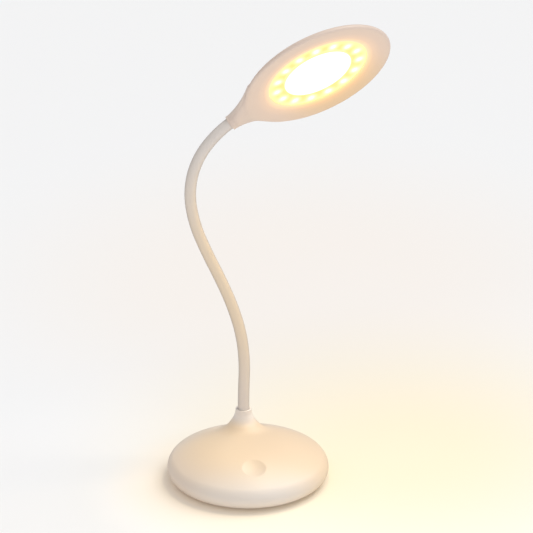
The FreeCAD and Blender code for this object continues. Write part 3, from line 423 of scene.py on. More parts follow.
def stacked(*skins):
    """Several skins as one, in one list of points."""
    points, faces, normals, count = [], [], [], 0
    for p, f, n in skins:
        faces += [tuple(i + count for i in face) for face in f]
        points.append(p)
        normals.append(n)
        count += len(p)
    return np.vstack(points), faces, np.vstack(normals)


def base_shell(material):
    points, faces, normals = merged(*stacked(base_top(), base_side(), collar()))
    x, y = points[:, 0], points[:, 1]
    wall = np.where(np.hypot(x, y - NECK_Y) < 9.0, COLLAR_WALL, BASE_WALL)
    wall = np.where(np.hypot(x, y) < OPENING_RADIUS + 0.05, wall, BASE_WALL * 0.9)
    wall = np.where(np.hypot(x, y - DISH_Y) < DISH_RADIUS, DISH_WALL, wall)
    both, all_faces, corner_normals = walled(points, faces, normals, wall)
    return piece("base_shell", both, all_faces, corner_normals, material)


# Head shells

def head_value(points):
    """Below zero inside the head: a thin disc with a flared stem run softly into it."""
    x, y, z = points[..., 0], points[..., 1], points[..., 2]
    reach = np.hypot(x, y)
    slope = math.atan2(FACE_DISH, HEAD_RADIUS - HEAD_EDGE - LENS_RADIUS)
    rise = np.maximum(reach - LENS_RADIUS - 0.9, 0) * math.tan(slope)
    face = (z + FACE_DISH - rise) * math.cos(slope)
    back = np.sqrt(reach ** 2 + (z - BACK_RADIUS + HEAD_THICKNESS) ** 2) - BACK_RADIUS
    disc = soft_max(soft_max(face, reach - HEAD_RADIUS, 3.4), back, 3.4)
    start = -STEM_REACH + STEM_LENGTH
    share = np.clip((x - start) / (-FLARE_END_REACH - start), 0, 1)
    width = STEM_RADIUS + (FLARE_END_WIDTH - STEM_RADIUS) * share ** FLARE_CURVE
    depth = np.maximum(STEM_RADIUS + (FLARE_END_DEPTH - STEM_RADIUS) * share ** 2, 0.5)
    tilt = math.radians(STEM_TILT)
    middle = -STEM_DEPTH - (x + STEM_REACH) * math.tan(tilt) + FLARE_RISE * share ** 2
    ratio = np.hypot(y / width, (z - middle) / depth)
    steepness = np.hypot(y / width ** 2, (z - middle) / depth ** 2)
    horn = (ratio - 1) * (ratio + 1e-9) / (steepness + 1e-9)
    run = (x + STEM_REACH) * math.cos(tilt) - (z + STEM_DEPTH) * math.sin(tilt)
    horn = soft_max(soft_max(horn, 0.8 - run, 0.5), 0.35 * (x + FLARE_END_REACH - 4.0), 3.0)
    return -soft_max(-disc, -horn, 4.0)


def head_normals(points):
    step = 0.01
    gradient = np.stack([head_value(points + step * axis) - head_value(points - step * axis)
                         for axis in np.eye(3)], axis=-1)
    return unit_rows(gradient)


def head_skin():
    """The head's whole outside, ring by ring from the lens opening round to the back."""
    turns, turn = [], 0.0
    while turn < 180.0 - 1e-6:
        turns.append(turn)
        gap = 180.0 - turn
        turn += 0.6 if gap < 13 else 1.2 if gap < 40 else 2.5
        if gap > 13 and 180.0 - turn < 13:
            turn = 167.4
    turns = np.radians(np.array(turns + [180.0] + [360.0 - t for t in reversed(turns[1:])]))
    count, samples, up = len(turns), 52, np.array([0, 0, 1.0])
    away = np.stack([np.cos(turns), np.sin(turns), np.zeros(count)], axis=1)
    start = (away * CORE_REACH + up * INNER_LEVEL)[:, None, :]
    fine = np.radians(90 - 180 * np.arange(161) / 160)[None, :, None]
    ways = np.cos(fine) * away[:, None, :] + np.sin(fine) * up
    near, _ = skin_along(start, ways, 0.0, 34.0, 20)
    curve = start + ways * near[..., None]
    rings = np.zeros((samples, count, 3))
    for column in range(count):
        gaps = np.linalg.norm(np.diff(curve[column], axis=0), axis=1)
        run = np.concatenate([[0], np.cumsum(gaps)])
        wanted = np.linspace(0, run[-1], samples)
        for axis in range(3):
            rings[:, column, axis] = np.interp(wanted, run, curve[column, :, axis])
    mouth = ((LENS_RADIUS + 0.08, -LENS_SEAT), (LENS_RADIUS + 0.08, -FACE_DISH - 0.45),
             (LENS_RADIUS + 0.15, -FACE_DISH - 0.2), (LENS_RADIUS + 0.33, -FACE_DISH - 0.04))
    all_rings = [away * reach + up * level for reach, level in mouth]
    all_rings += [drop_to_skin(away * reach, 1.0) for reach in (42.5, 44.0, 46.0, 48.0)]
    all_rings += list(rings)
    all_rings += [drop_to_skin(away * reach, BACK_LEVEL) for reach in np.linspace(48.0, 1.5, 32)]
    pole, last = len(all_rings) * count, (len(all_rings) - 1) * count
    points = np.vstack(all_rings + [drop_to_skin(np.zeros((1, 3)), BACK_LEVEL)])
    faces = flipped(ring_faces(len(all_rings), count))
    faces += [(last + i, pole, last + (i + 1) % count) for i in range(count)]
    normals = head_normals(points)
    for ring, lean in enumerate(np.radians((90, 90, 60, 25))):
        normals[ring * count:(ring + 1) * count] = up * math.cos(lean) - away * math.sin(lean)
    return points, faces, normals


def skin_along(start, ways, near, far, rounds):
    """How far along each way the head's skin lies: the last length inside and the first outside."""
    shape = np.broadcast_shapes(start.shape, ways.shape)[:-1]
    near, far = np.full(shape, float(near)), np.full(shape, float(far))
    for _ in range(rounds):
        middle = (near + far) / 2
        outside = head_value(start + ways * middle[..., None]) > 0
        far = np.where(outside, middle, far)
        near = np.where(outside, near, middle)
    return near, far


def drop_to_skin(places, outer):
    """Slides points straight up or down on to the head's skin."""
    up = np.array([[0, 0, 1.0]])
    near, far = skin_along(places, up, INNER_LEVEL, outer, 24)
    return places + up * ((near + far) / 2)[:, None]


def parted(points, faces, normals):
    """Cuts the head's skin along its parting, with a fine groove, into face side and back side."""
    mesh = bmesh.new()
    layer = mesh.verts.layers.float_vector.new("normal")
    verts = [mesh.verts.new(p) for p in points]
    for vert, normal in zip(verts, normals):
        vert[layer] = Vector(normal)
    for face in faces:
        mesh.faces.new([verts[i] for i in face])
    for gap in (0.0, GROOVE_HALF, -GROOVE_HALF):
        for axis, level in ((2, -PARTING_DEPTH), (0, STEM_CUT_X)):
            way = Vector(np.eye(3)[axis])
            place = way * (level + gap)
            near = []
            for part in mesh.faces:
                middle = part.calc_center_median()
                if ((axis == 2 and middle.x > STEM_CUT_X - 2.0 and middle.length > RIM_BAND)
                        or (axis == 0 and middle.x < STEM_CUT_X + 3.0)):
                    near.append(part)
            edges = list({edge for part in near for edge in part.edges})
            corners = list({vert for part in near for vert in part.verts})
            bmesh.ops.bisect_plane(mesh, geom=near + edges + corners, dist=1e-5, plane_co=place,
                                   plane_no=way)
    mesh.verts.index_update()
    all_points = np.array([tuple(v.co) for v in mesh.verts])
    all_normals = np.array([tuple(v[layer]) for v in mesh.verts])
    new = np.linalg.norm(all_normals, axis=1) < 0.5
    all_normals[new] = head_normals(all_points[new])
    all_normals = unit_rows(all_normals)
    sides = ([], [])
    for face in mesh.faces:
        middle = face.calc_center_median()
        in_front = middle.x > STEM_CUT_X and (middle.z > -PARTING_DEPTH or middle.xy.length < 43.0)
        sides[0 if in_front else 1].append(tuple(v.index for v in face.verts))
    mesh.free()
    x, y, z = all_points.T
    on_cut = ((np.abs(z + PARTING_DEPTH) < 1e-4) & (x > STEM_CUT_X - 0.01)
              & (np.hypot(x, y) > RIM_BAND))
    on_cut |= (np.abs(x - STEM_CUT_X) < 1e-4) & (z > -PARTING_DEPTH - 0.01)
    all_points[on_cut] -= all_normals[on_cut] * GROOVE_DEPTH
    return all_points, sides, all_normals


def only_used(points, faces, normals):
    used = sorted({i for face in faces for i in face})
    index = {old: new for new, old in enumerate(used)}
    return points[used], [tuple(index[i] for i in face) for face in faces], normals[used]


def stem_mouth():
    """The crisp ring at the end of the stem, with the bore that the neck goes into."""
    tilt = math.radians(STEM_TILT)
    axis = np.array([math.cos(tilt), 0, -math.sin(tilt)])
    lift = np.array([math.sin(tilt), 0, math.cos(tilt)])
    end = np.array([-STEM_REACH, 0, -STEM_DEPTH])
    profile = [(STEM_RADIUS - 0.5, 2.2, 1, 0), (STEM_RADIUS + 0.02, 1.9, 1, 0),
               (STEM_RADIUS + 0.02, 0.35, 1, 0), (STEM_RADIUS - 0.08, 0.1, 0.7, -0.7),
               (STEM_RADIUS - 0.33, 0.0, 0, -1), (BORE_RADIUS + 0.3, 0.0, 0, -1),
               (BORE_RADIUS + 0.08, 0.1, -0.7, -0.7), (BORE_RADIUS, 0.35, -1, 0),
               (BORE_RADIUS, 5.8, -1, 0), (BORE_RADIUS - 2.0, 5.9, 0, -1)]
    points, faces, normals = spun(profile, 64, end, (0, 1, 0), lift, axis)
    return points, flipped(faces), normals


def head_shells(material):
    points, sides, normals = parted(*head_skin())
    made = []
    for name, faces in zip(("head_face", "head_back"), sides):
        skin = only_used(points, faces, normals)
        both, all_faces, corner_normals = walled(*skin, np.full(len(skin[0]), HEAD_WALL))
        if name == "head_back":
            more_points, more_faces, more_normals = stem_mouth()
            count = len(both)
            both = np.vstack([both, more_points])
            all_faces += [tuple(i + count for i in face) for face in more_faces]
            corner_normals += [more_normals[i] for face in more_faces for i in face]
        turned = np.array(corner_normals) @ HEAD_TURN.T
        made.append(piece(name, head_place(both), all_faces, turned, material))
    return made


# Nodes

SOCKET_KINDS = {"Geometry": "Geometry", "Material": "Material", "Sides": "Int", "Count": "Int",
                "Vector": "Vector", "Centre": "Vector", "Colour": "Color", "Shade": "Color"}


def new_tree(name, kind, inputs, outputs):
    """A node tree with named sockets: what it is given, and its end node."""
    tree = bpy.data.node_groups.new(name, kind)
    for way, labels in (("INPUT", inputs), ("OUTPUT", outputs)):
        for label in labels:
            socket_kind = "NodeSocket" + SOCKET_KINDS.get(label, "Float")
            socket = tree.interface.new_socket(name=label, in_out=way, socket_type=socket_kind)
            if way == "INPUT" and inputs[label] is not None:
                socket.default_value = inputs[label]
    return tree, tree.nodes.new("NodeGroupInput").outputs, tree.nodes.new("NodeGroupOutput")


def feed(tree, node, values):
    """Sets the inputs of a node, or links other nodes' outputs to them."""
    for label, value in values.items():
        if isinstance(value, bpy.types.NodeSocket):
            tree.links.new(value, node.inputs[label])
        elif value is not None:
            node.inputs[label].default_value = value


def add_node(tree, kind, values, **settings):
    """A new node with its settings and its inputs: what it puts out."""
    node = tree.nodes.new(kind)
    for label, value in settings.items():
        setattr(node, label, value)
    feed(tree, node, values)
    return node.outputs


def math_node(tree, operation, a, b=None, clamp=False):
    node = add_node(tree, "ShaderNodeMath", {0: a, 1: b}, operation=operation, use_clamp=clamp)
    return node["Value"]


def times(tree, a, b, clamp=False):
    return math_node(tree, "MULTIPLY", a, b, clamp)


def end_shape(tree, geometry, material, result):
    """Makes copies real and paints them, at the end of a tree."""
    real = add_node(tree, "GeometryNodeRealizeInstances", {"Geometry": geometry})
    painted = add_node(tree, "GeometryNodeSetMaterial",
                       {"Geometry": real["Geometry"], "Material": material})
    feed(tree, result, {"Geometry": painted["Geometry"]})


def tube_tree():
    """A round tube along a line of points."""
    labels = dict.fromkeys(("Geometry", "Radius", "Sides", "Material"))
    tree, given, result = new_tree("tube_along_line", "GeometryNodeTree", labels, ["Geometry"])
    line = add_node(tree, "GeometryNodeMeshToCurve", {"Mesh": given["Geometry"]})
    ring = add_node(tree, "GeometryNodeCurvePrimitiveCircle",
                    {"Resolution": given["Sides"], "Radius": given["Radius"]})
    sweep = add_node(tree, "GeometryNodeCurveToMesh",
                     {"Curve": line["Curve"], "Profile Curve": ring["Curve"]})
    smooth = add_node(tree, "GeometryNodeSetShadeSmooth", {"Geometry": sweep["Mesh"]})
    end_shape(tree, smooth["Geometry"], given["Material"], result)
    return tree


def ring_tree():
    """One small shape set round a circle, each copy turned to face out from the middle."""
    labels = dict.fromkeys(("Geometry", "Count", "Radius", "Material"))
    tree, given, result = new_tree("copies_round_circle", "GeometryNodeTree", labels, ["Geometry"])
    ring = add_node(tree, "GeometryNodeMeshCircle",
                    {"Vertices": given["Count"], "Radius": given["Radius"]})
    index = add_node(tree, "GeometryNodeInputIndex", {})
    share = math_node(tree, "DIVIDE", index["Index"], given["Count"])
    angle = add_node(tree, "ShaderNodeCombineXYZ", {"Z": times(tree, share, 2 * math.pi)})
    copies = add_node(tree, "GeometryNodeInstanceOnPoints",
                      {"Points": ring["Mesh"], "Instance": given["Geometry"],
                       "Rotation": angle["Vector"]})
    end_shape(tree, copies["Instances"], given["Material"], result)
    return tree


def baked(name, tree, values, start):
    """The tree's result as a plain mesh object."""
    obj = bpy.data.objects.new(name, start)
    bpy.context.scene.collection.objects.link(obj)
    modifier = obj.modifiers.new("shape", "NODES")
    modifier.node_group = tree
    for socket in tree.interface.items_tree:
        if socket.in_out == "INPUT" and socket.name in values:
            modifier[socket.identifier] = values[socket.name]
    graph = bpy.context.evaluated_depsgraph_get()
    mesh = bpy.data.meshes.new_from_object(obj.evaluated_get(graph))
    obj.modifiers.clear()
    obj.data = mesh
    mesh.name = name
    return obj


# Neck sleeve and lead

BODIES = ["base"] + ["neck_link_%d" % n for n in range(2, 10)] + ["head"]


def tube_in_links(name, stands_for, tree, material, radius, sides, centres, marks):
    """A tube cut across its rings into one piece for each bend of the neck, each piece running
    across one joint.
    """
    centres = np.array(centres)
    line = bpy.data.meshes.new(name + "_line")
    links = [(i, i + 1) for i in range(len(centres) - 1)]
    line.from_pydata([tuple(p * MM) for p in centres], links, [])
    tube = baked(name, tree, {"Radius": radius * MM, "Sides": sides, "Material": material}, line)
    points = np.array([tuple(v.co) for v in tube.data.vertices]) / MM
    rings = points.reshape(len(centres), sides, 3)
    round_ways = unit_rows(rings - centres[:, None, :])
    bpy.data.objects.remove(tube)
    for number, (first, last) in enumerate(zip(marks, marks[1:])):
        part = rings[first:last + 1].reshape(-1, 3)
        part_normals = round_ways[first:last + 1].reshape(-1, 3)
        rows = last - first + 1
        faces = ring_faces(rows, sides)
        a, b, c = part[list(faces[0][:3])]
        if np.cross(b - a, c - a) @ part_normals[0] < 0:
            faces = flipped(faces)
        corner_normals = [part_normals[i] for face in faces for i in face]
        for row, sign in ((0, -1.0), (rows - 1, 1.0)):
            way = centres[min(first + row + 1, len(centres) - 1)] - centres[max(first + row - 1, 0)]
            way = unit_rows(way * sign)
            ring = tuple(range(row * sides, (row + 1) * sides))
            a, b, c = part[list(ring[:3])]
            faces.append(ring if np.cross(b - a, c - b) @ way > 0 else tuple(reversed(ring)))
            corner_normals += [way] * sides
        obj = piece("%s_%02d" % (name, number + 1), part, faces, corner_normals, material)
        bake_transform(obj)
        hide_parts(*stands_for(number))


def neck_sleeve(tree, material):
    centres = [on_neck(0, 0)[0] + np.array([0, 0, z]) for z in (-9.0, -6.0, -3.0)]
    marks = [0]
    for link in range(len(LINK_TURNS)):
        for step in range(LINK_STEPS):
            if step == LINK_STEPS // 2 and 0 < link < len(LINK_TURNS) - 1:
                marks.append(len(centres))
            centres.append(on_neck(link, LINK_LENGTH * step / LINK_STEPS)[0])
    centres += [on_neck(len(LINK_TURNS), run)[0] for run in (0.0, 2.0, 5.5)]
    marks.append(len(centres) - 1)
    last_bend = len(BODIES) - 2
    tube_in_links("neck_skin",
                  lambda n: ["neck_sleeve_%02d" % (n + 1)]
                  + (["neck_sleeve_10"] if n == last_bend else []),
                  tree, material, SLEEVE_RADIUS, 40, centres, marks)


def lamp_lead(tree, material):
    """The lead inside the neck, on one smooth line from the control board to the lamp board."""
    route = [(0, -30.5, 10.7), (0, -30.5, 16.0), (0, -22.0, 16.0), (0, 20.0, 16.0),
             (0, NECK_Y, 16.0), (0, NECK_Y, 24.0), (0, NECK_Y, 40.0)]
    route += [on_neck(link, 0)[0] for link in range(len(LINK_TURNS) + 1)]
    route += list(head_place([(-70.7, 0, -4.4), (-56.0, 0, -5.4), (-41.6, 0, -6.4),
                              (-38.6, 0, -6.4)]))
    curve = bpy.data.curves.new("lead_line", "CURVE")
    curve.dimensions = "3D"
    spline = curve.splines.new("NURBS")
    spline.points.add(len(route) - 1)
    for point, place in zip(spline.points, route):
        point.co = (place[0] * MM, place[1] * MM, place[2] * MM, 1.0)
    spline.order_u = 3
    spline.use_endpoint_u = True
    spline.resolution_u = 8
    holder = bpy.data.objects.new("lead_line", curve)
    bpy.context.scene.collection.objects.link(holder)
    graph = bpy.context.evaluated_depsgraph_get()
    line = bpy.data.meshes.new_from_object(holder.evaluated_get(graph))
    centres = np.array([tuple(v.co) for v in line.vertices]) / MM
    bpy.data.objects.remove(holder)
    gaps = np.linalg.norm(np.diff(centres, axis=0), axis=1)
    centres = centres[np.concatenate([[True], gaps > 0.01])]
    marks = [0]
    for link in range(1, len(LINK_TURNS) - 1):
        middle = on_neck(link, LINK_LENGTH / 2)[0]
        marks.append(int(np.argmin(np.linalg.norm(centres - middle, axis=1))))
    marks.append(len(centres) - 1)
    tube_in_links("lamp_lead", lambda n: ["lead_wires"], tree, material,
                  LEAD_RADIUS, 12, centres, marks)


# Lamp unit

AXIS_RADIUS = 0.001
CHIP_LEVEL = -7.7


def lathe(name, profile, sides, material):
    """A closed shape spun about the head's axis from (radius, height) points."""
    points = [(r * x, r * y, z) for r, z in profile for x, y in circle(1.0, sides)]
    last = len(points) - sides
    faces = ring_faces(len(profile), sides)
    faces += [tuple(range(sides))[::-1], tuple(range(last, last + sides))]
    obj = piece(name, head_place(points), faces, None, material)
    mesh = bmesh.new()
    mesh.from_mesh(obj.data)
    bmesh.ops.remove_doubles(mesh, verts=mesh.verts, dist=1e-7)
    bmesh.ops.recalc_face_normals(mesh, faces=mesh.faces)
    mesh.to_mesh(obj.data)
    mesh.free()
    return obj


def rounded_disc(radius, low, high, edge):
    """Outline of a flat disc with rounded edges."""
    flat = radius - edge
    profile = [(AXIS_RADIUS, low), (flat, low)]
    profile += [p[:2] for p in arc(flat, low + edge, edge, np.radians((-60, -30, 0)))]
    profile += [p[:2] for p in arc(flat, high - edge, edge, np.radians((0, 30, 60, 90)))]
    return profile + [(max(AXIS_RADIUS, flat * share), high) for share in (0.8, 0.6, 0.4, 0.2, 0.0)]


def lamp_chip():
    """One lamp chip: a small white frame with a domed yellow face, in metres, lying flat."""
    frame_size = Matrix.Diagonal((2.8 * MM, 3.5 * MM, 0.6 * MM, 1))
    frame_place = Matrix.Translation((0, 0, 0.3 * MM)) @ frame_size
    dome_place = Matrix.Translation((0, 0, 0.45 * MM)) @ Matrix.Diagonal((1, 1, 0.32, 1))
    mesh = bmesh.new()
    bmesh.ops.create_cube(mesh, size=1.0, matrix=frame_place)
    bmesh.ops.bevel(mesh, geom=list(mesh.edges), offset=0.12 * MM, segments=2, affect="EDGES")
    bmesh.ops.create_uvsphere(mesh, u_segments=14, v_segments=8, radius=1.15 * MM,
                              matrix=dome_place)
    data = bpy.data.meshes.new("chip")
    mesh.to_mesh(data)
    mesh.free()
    return data


def lamp_chips(name, tree, count, radius, material):
    """Lamp chips in a ring on the lamp board, in the head's frame."""
    values = {"Count": count, "Radius": radius * MM, "Material": material}
    obj = baked(name, tree, values, lamp_chip())
    turn = Matrix(HEAD_TURN).to_4x4()
    place = Matrix.Translation(Vector(HEAD_ORIGIN * MM))
    obj.data.transform(place @ turn @ Matrix.Translation((0, 0, CHIP_LEVEL * MM)))
    for polygon in obj.data.polygons:
        polygon.use_smooth = True
    return obj


# Materials

BUMP_REACH = 0.0005
BLACK = (0.0, 0.0, 0.0, 1.0)


def noise(tree, vector, scale, detail=3.0, rough=0.5):
    values = {"Vector": vector, "Scale": scale, "Detail": detail, "Roughness": rough}
    return add_node(tree, "ShaderNodeTexNoise", values)["Fac"]


def mixed(tree, share, first, second):
    outputs = add_node(tree, "ShaderNodeMix", {"Factor": share, "A": first, "B": second},
                       data_type="RGBA")
    return [output for output in outputs if output.type == "RGBA"][0]


def distance(tree, x, y):
    return math_node(tree, "SQRT", math_node(tree, "ADD", times(tree, x, x), times(tree, y, y)))


def share_over(tree, value, start, length):
    """Nothing up to the start, one a length beyond it, and even between."""
    return math_node(tree, "DIVIDE", math_node(tree, "SUBTRACT", value, start), length, True)


def ramp(tree, value, stops):
    """A colour for each value; the first two stops are its ends."""
    node = tree.nodes.new("ShaderNodeValToRGB")
    elements = node.color_ramp.elements
    for number, (place, colour) in enumerate(stops):
        element = elements[number] if number < 2 else elements.new(place)
        element.position = place
        element.color = (*colour, 1.0)
    feed(tree, node, {"Fac": value})
    return node.outputs["Color"]


def moulded_grain():
    """Fine moulded texture: a faint mottle in colour and gloss, and a fine grain in height."""
    inputs = {"Vector": None, "Colour": (0.8, 0.8, 0.8, 1), "Shade": (0.7, 0.7, 0.7, 1),
              "Grain": 2600.0, "Gloss": 0.5, "Mottle": 0.3}
    tree, given, result = new_tree("moulded_grain", "ShaderNodeTree", inputs,
                                   ("Colour", "Roughness", "Height"))
    broad = noise(tree, given["Vector"], 38.0, 4.0)
    fine = noise(tree, given["Vector"], given["Grain"], 2.0, 0.6)
    share = times(tree, broad, given["Mottle"], True)
    wobble = times(tree, math_node(tree, "SUBTRACT", fine, 0.5), 0.12)
    feed(tree, result, {"Colour": mixed(tree, share, given["Colour"], given["Shade"]),
                        "Roughness": math_node(tree, "ADD", given["Gloss"], wobble, True),
                        "Height": fine})
    return tree


def drawn_metal():
    """Fine lines drawn along one direction, for turned, wound and rolled metal."""
    inputs = {"Vector": None, "Colour": (0.6, 0.6, 0.6, 1), "Shade": (0.4, 0.4, 0.4, 1),
              "Gloss": 0.35}
    tree, given, result = new_tree("drawn_metal", "ShaderNodeTree", inputs,
                                   ("Colour", "Roughness", "Height"))
    lines = noise(tree, given["Vector"], 900.0)
    stain = times(tree, noise(tree, given["Vector"], 60.0), 0.6)
    rough = math_node(tree, "ADD", given["Gloss"], times(tree, lines, 0.15), True)
    feed(tree, result, {"Colour": mixed(tree, stain, given["Colour"], given["Shade"]),
                        "Roughness": rough, "Height": lines})
    return tree


def lamp_glow():
    """Where a point of the head lies: its reach, its level, and how close to a lamp of the ring."""
    inputs = {"Vector": None, "Spot Size": 3.4}
    tree, given, result = new_tree("lamp_glow", "ShaderNodeTree", inputs,
                                   ("Radius", "Spots", "Level"))
    turn = Matrix(HEAD_TURN).to_euler()
    mapping = add_node(tree, "ShaderNodeMapping",
                       {"Vector": given["Vector"], "Location": tuple(HEAD_ORIGIN * MM),
                        "Rotation": tuple(turn), "Scale": (MM, MM, MM)}, vector_type="TEXTURE")
    split = add_node(tree, "ShaderNodeSeparateXYZ", {0: mapping["Vector"]})
    x, y = split["X"], split["Y"]
    reach = distance(tree, x, y)
    pitch = 2 * math.pi / RING_LAMP_COUNT
    turns = math_node(tree, "DIVIDE", math_node(tree, "ARCTAN2", y, x), pitch)
    off = math_node(tree, "SUBTRACT", turns, math_node(tree, "ROUND", turns))
    far = distance(tree, times(tree, off, pitch * RING_LAMP_RADIUS),
                   math_node(tree, "SUBTRACT", reach, RING_LAMP_RADIUS))
    ratio = math_node(tree, "DIVIDE", far, given["Spot Size"])
    spots = math_node(tree, "EXPONENT", times(tree, times(tree, ratio, ratio), -1.0))
    feed(tree, result, {"Radius": reach, "Spots": spots, "Level": split["Z"]})
    return tree


def soft_patch():
    """One inside a round patch of space, fading to nothing at its outer reach."""
    inputs = {"Vector": None, "Centre": (0, 0, 0), "Inner": 0.02, "Outer": 0.1}
    tree, given, result = new_tree("soft_patch", "ShaderNodeTree", inputs, ("Mask",))
    far = add_node(tree, "ShaderNodeVectorMath", {0: given["Vector"], 1: given["Centre"]},
                   operation="DISTANCE")
    fade = add_node(tree, "ShaderNodeMapRange",
                    {"Value": far["Value"], "From Min": given["Inner"], "From Max": given["Outer"],
                     "To Min": 1.0, "To Max": 0.0}, interpolation_type="SMOOTHSTEP")
    feed(tree, result, {"Mask": fade["Result"]})
    return tree


GRAIN = moulded_grain()
METAL = drawn_metal()
GLOW = lamp_glow()
PATCH = soft_patch()


def material(name, group, values, depth, shader=None, stretch=(1, 1, 1), more=()):
    """A Principled material fed by one of the groups, with its own values and grain depth."""
    made = bpy.data.materials.new(name)
    made.use_nodes = True
    tree = made.node_tree
    principled = tree.nodes["Principled BSDF"]
    where = tree.nodes.new("ShaderNodeTexCoord").outputs["Object"]
    mapping = add_node(tree, "ShaderNodeMapping", {"Vector": where, "Scale": stretch})
    skin = add_node(tree, "ShaderNodeGroup", {"Vector": mapping["Vector"], **values},
                    node_tree=group)
    bump = add_node(tree, "ShaderNodeBump",
                    {"Strength": depth, "Distance": BUMP_REACH, "Height": skin["Height"]})
    feed(tree, principled, {"Base Color": skin["Colour"], "Roughness": skin["Roughness"],
                            "Normal": bump["Normal"], **(shader or {})})
    for build in more:
        build(tree, where, principled)
    return made


def moulded(name, colour, shade, grain, gloss, mottle, depth, shader=None, more=()):
    values = {"Colour": (*colour, 1.0), "Shade": (*shade, 1.0), "Grain": grain, "Gloss": gloss,
              "Mottle": mottle}
    return material(name, GRAIN, values, depth, shader, more=more)


def metal(name, colour, shade, gloss, depth, metallic=1.0, stretch=(1, 1, 1)):
    values = {"Colour": (*colour, 1.0), "Shade": (*shade, 1.0), "Gloss": gloss}
    return material(name, METAL, values, depth, {"Metallic": metallic}, stretch)


def patch_mask(tree, vector, centre, inner, outer):
    values = {"Vector": vector, "Centre": centre, "Inner": inner, "Outer": outer}
    return add_node(tree, "ShaderNodeGroup", values, node_tree=PATCH)["Mask"]


def lamp_rings(tree, vector, size):
    return add_node(tree, "ShaderNodeGroup", {"Vector": vector, "Spot Size": size}, node_tree=GLOW)


def tint(tree, principled, share, colour):
    """Mixes one more colour into the material's own."""
    own = principled.inputs["Base Color"].links[0].from_socket
    feed(tree, principled, {"Base Color": mixed(tree, share, own, (*colour, 1.0))})


def shine(tree, principled, colour, strength=1.0):
    feed(tree, principled, {"Emission Color": colour, "Emission Strength": strength})


def painted_light_and_shade(*patches):
    """Painted light and shade: tints a material's colour inside soft patches of space, such as
    where the lamp's own light falls.
    """
    def build(tree, vector, principled):
        for centre, inner, outer, warm in patches:
            tint(tree, principled, patch_mask(tree, vector, centre, inner, outer), warm)
    return build


def painted_bounce_light(centre, inner, outer, colour):
    """A faint glow painted inside a soft patch: painted bounce light, for what the surroundings
    throw back.
    """
    def build(tree, vector, principled):
        mask = patch_mask(tree, vector, centre, inner, outer)
        shine(tree, principled, mixed(tree, mask, BLACK, (*colour, 1.0)))
    return build


def outline_shade(power, share, shade):
    """Painted shade: the colour darkens close to the outline."""
    def build(tree, vector, principled):
        weight = add_node(tree, "ShaderNodeLayerWeight", {"Blend": 0.5})
        close = times(tree, math_node(tree, "POWER", weight["Facing"], power), share)
        tint(tree, principled, close, shade)
    return build


def plain_light(colour, strength):
    def build(tree, vector, principled):
        shine(tree, principled, (*colour, 1.0), strength)
    return build


def face_painted_light(tree, vector, principled):
    """Painted light: a warm glow spilt on to the face round the lamp unit, and warm light painted
    into the colour along its lower side.
    """
    rings = lamp_rings(tree, vector, 5.0)
    spill = ramp(tree, share_over(tree, rings["Radius"], 41.0, 24.0),
                 [(0.0, (0.60, 0.45, 0.11)), (1.0, (0.02, 0.0, 0.0)), (0.1, (0.38, 0.22, 0.025)),
                  (0.25, (0.2, 0.075, 0.0)), (0.5, (0.09, 0.025, 0.0))])
    in_front = share_over(tree, rings["Level"], -9.0, 6.0)
    low_side = tuple(head_place([(5.0, math.copysign(44.0, -HEAD_SIDE[2]), -2.0)])[0] * MM)
    warm = times(tree, patch_mask(tree, vector, low_side, 0.012, 0.06), in_front)
    tint(tree, principled, warm, (0.77, 0.585, 0.38))
    shine(tree, principled, mixed(tree, in_front, BLACK, spill))


def tray_painted_glow(tree, vector, principled):
    """The lit ring as a painted glow on the reflector tray: golden between the lamps, nearly white
    round each one.
    """
    rings = lamp_rings(tree, vector, 3.0)
    band = ramp(tree, share_over(tree, rings["Radius"], 26.0, 16.0),
                [(0.0, (1.0, 0.85, 0.4)), (1.0, (0.72, 0.5, 0.16)), (0.25, (0.86, 0.64, 0.16)),
                 (0.55, (0.8, 0.56, 0.11)), (0.8, (0.82, 0.6, 0.16))])
    shine(tree, principled, mixed(tree, rings["Spots"], band, (1.5, 1.45, 1.1, 1.0)), 0.85)


def lens_painted_glow(tree, vector, principled):
    """The lit window as a painted glow on the lens: white over the disc, golden over the ring,
    nearly white over each lamp, in place of the light shining through it.
    """
    rings = lamp_rings(tree, vector, 3.3)
    share = math_node(tree, "DIVIDE", rings["Radius"], LENS_RADIUS, True)
    edge = DIFFUSER_RADIUS / LENS_RADIUS
    band = ramp(tree, share, [(0.0, (1.4, 1.4, 1.4)), (1.0, (0.92, 0.8, 0.33)),
                              (edge - 0.008, (1.4, 1.38, 1.2)), (edge + 0.008, (0.9, 0.72, 0.2)),
                              (edge + 0.05, (0.85, 0.65, 0.16)), (0.88, (0.87, 0.68, 0.18)),
                              (0.94, (0.91, 0.78, 0.28))])
    cover = ramp(tree, share, [(0.0, (0.94, 0.94, 0.94)), (1.0, (0.97, 0.97, 0.97)),
                               (0.8, (0.9, 0.9, 0.9))])
    feed(tree, principled, {"Alpha": cover})
    shine(tree, principled, mixed(tree, rings["Spots"], band, (1.6, 1.55, 1.2, 1.0)))


SHELL_SHADER = {"Coat Weight": 0.04, "Coat Roughness": 0.35}
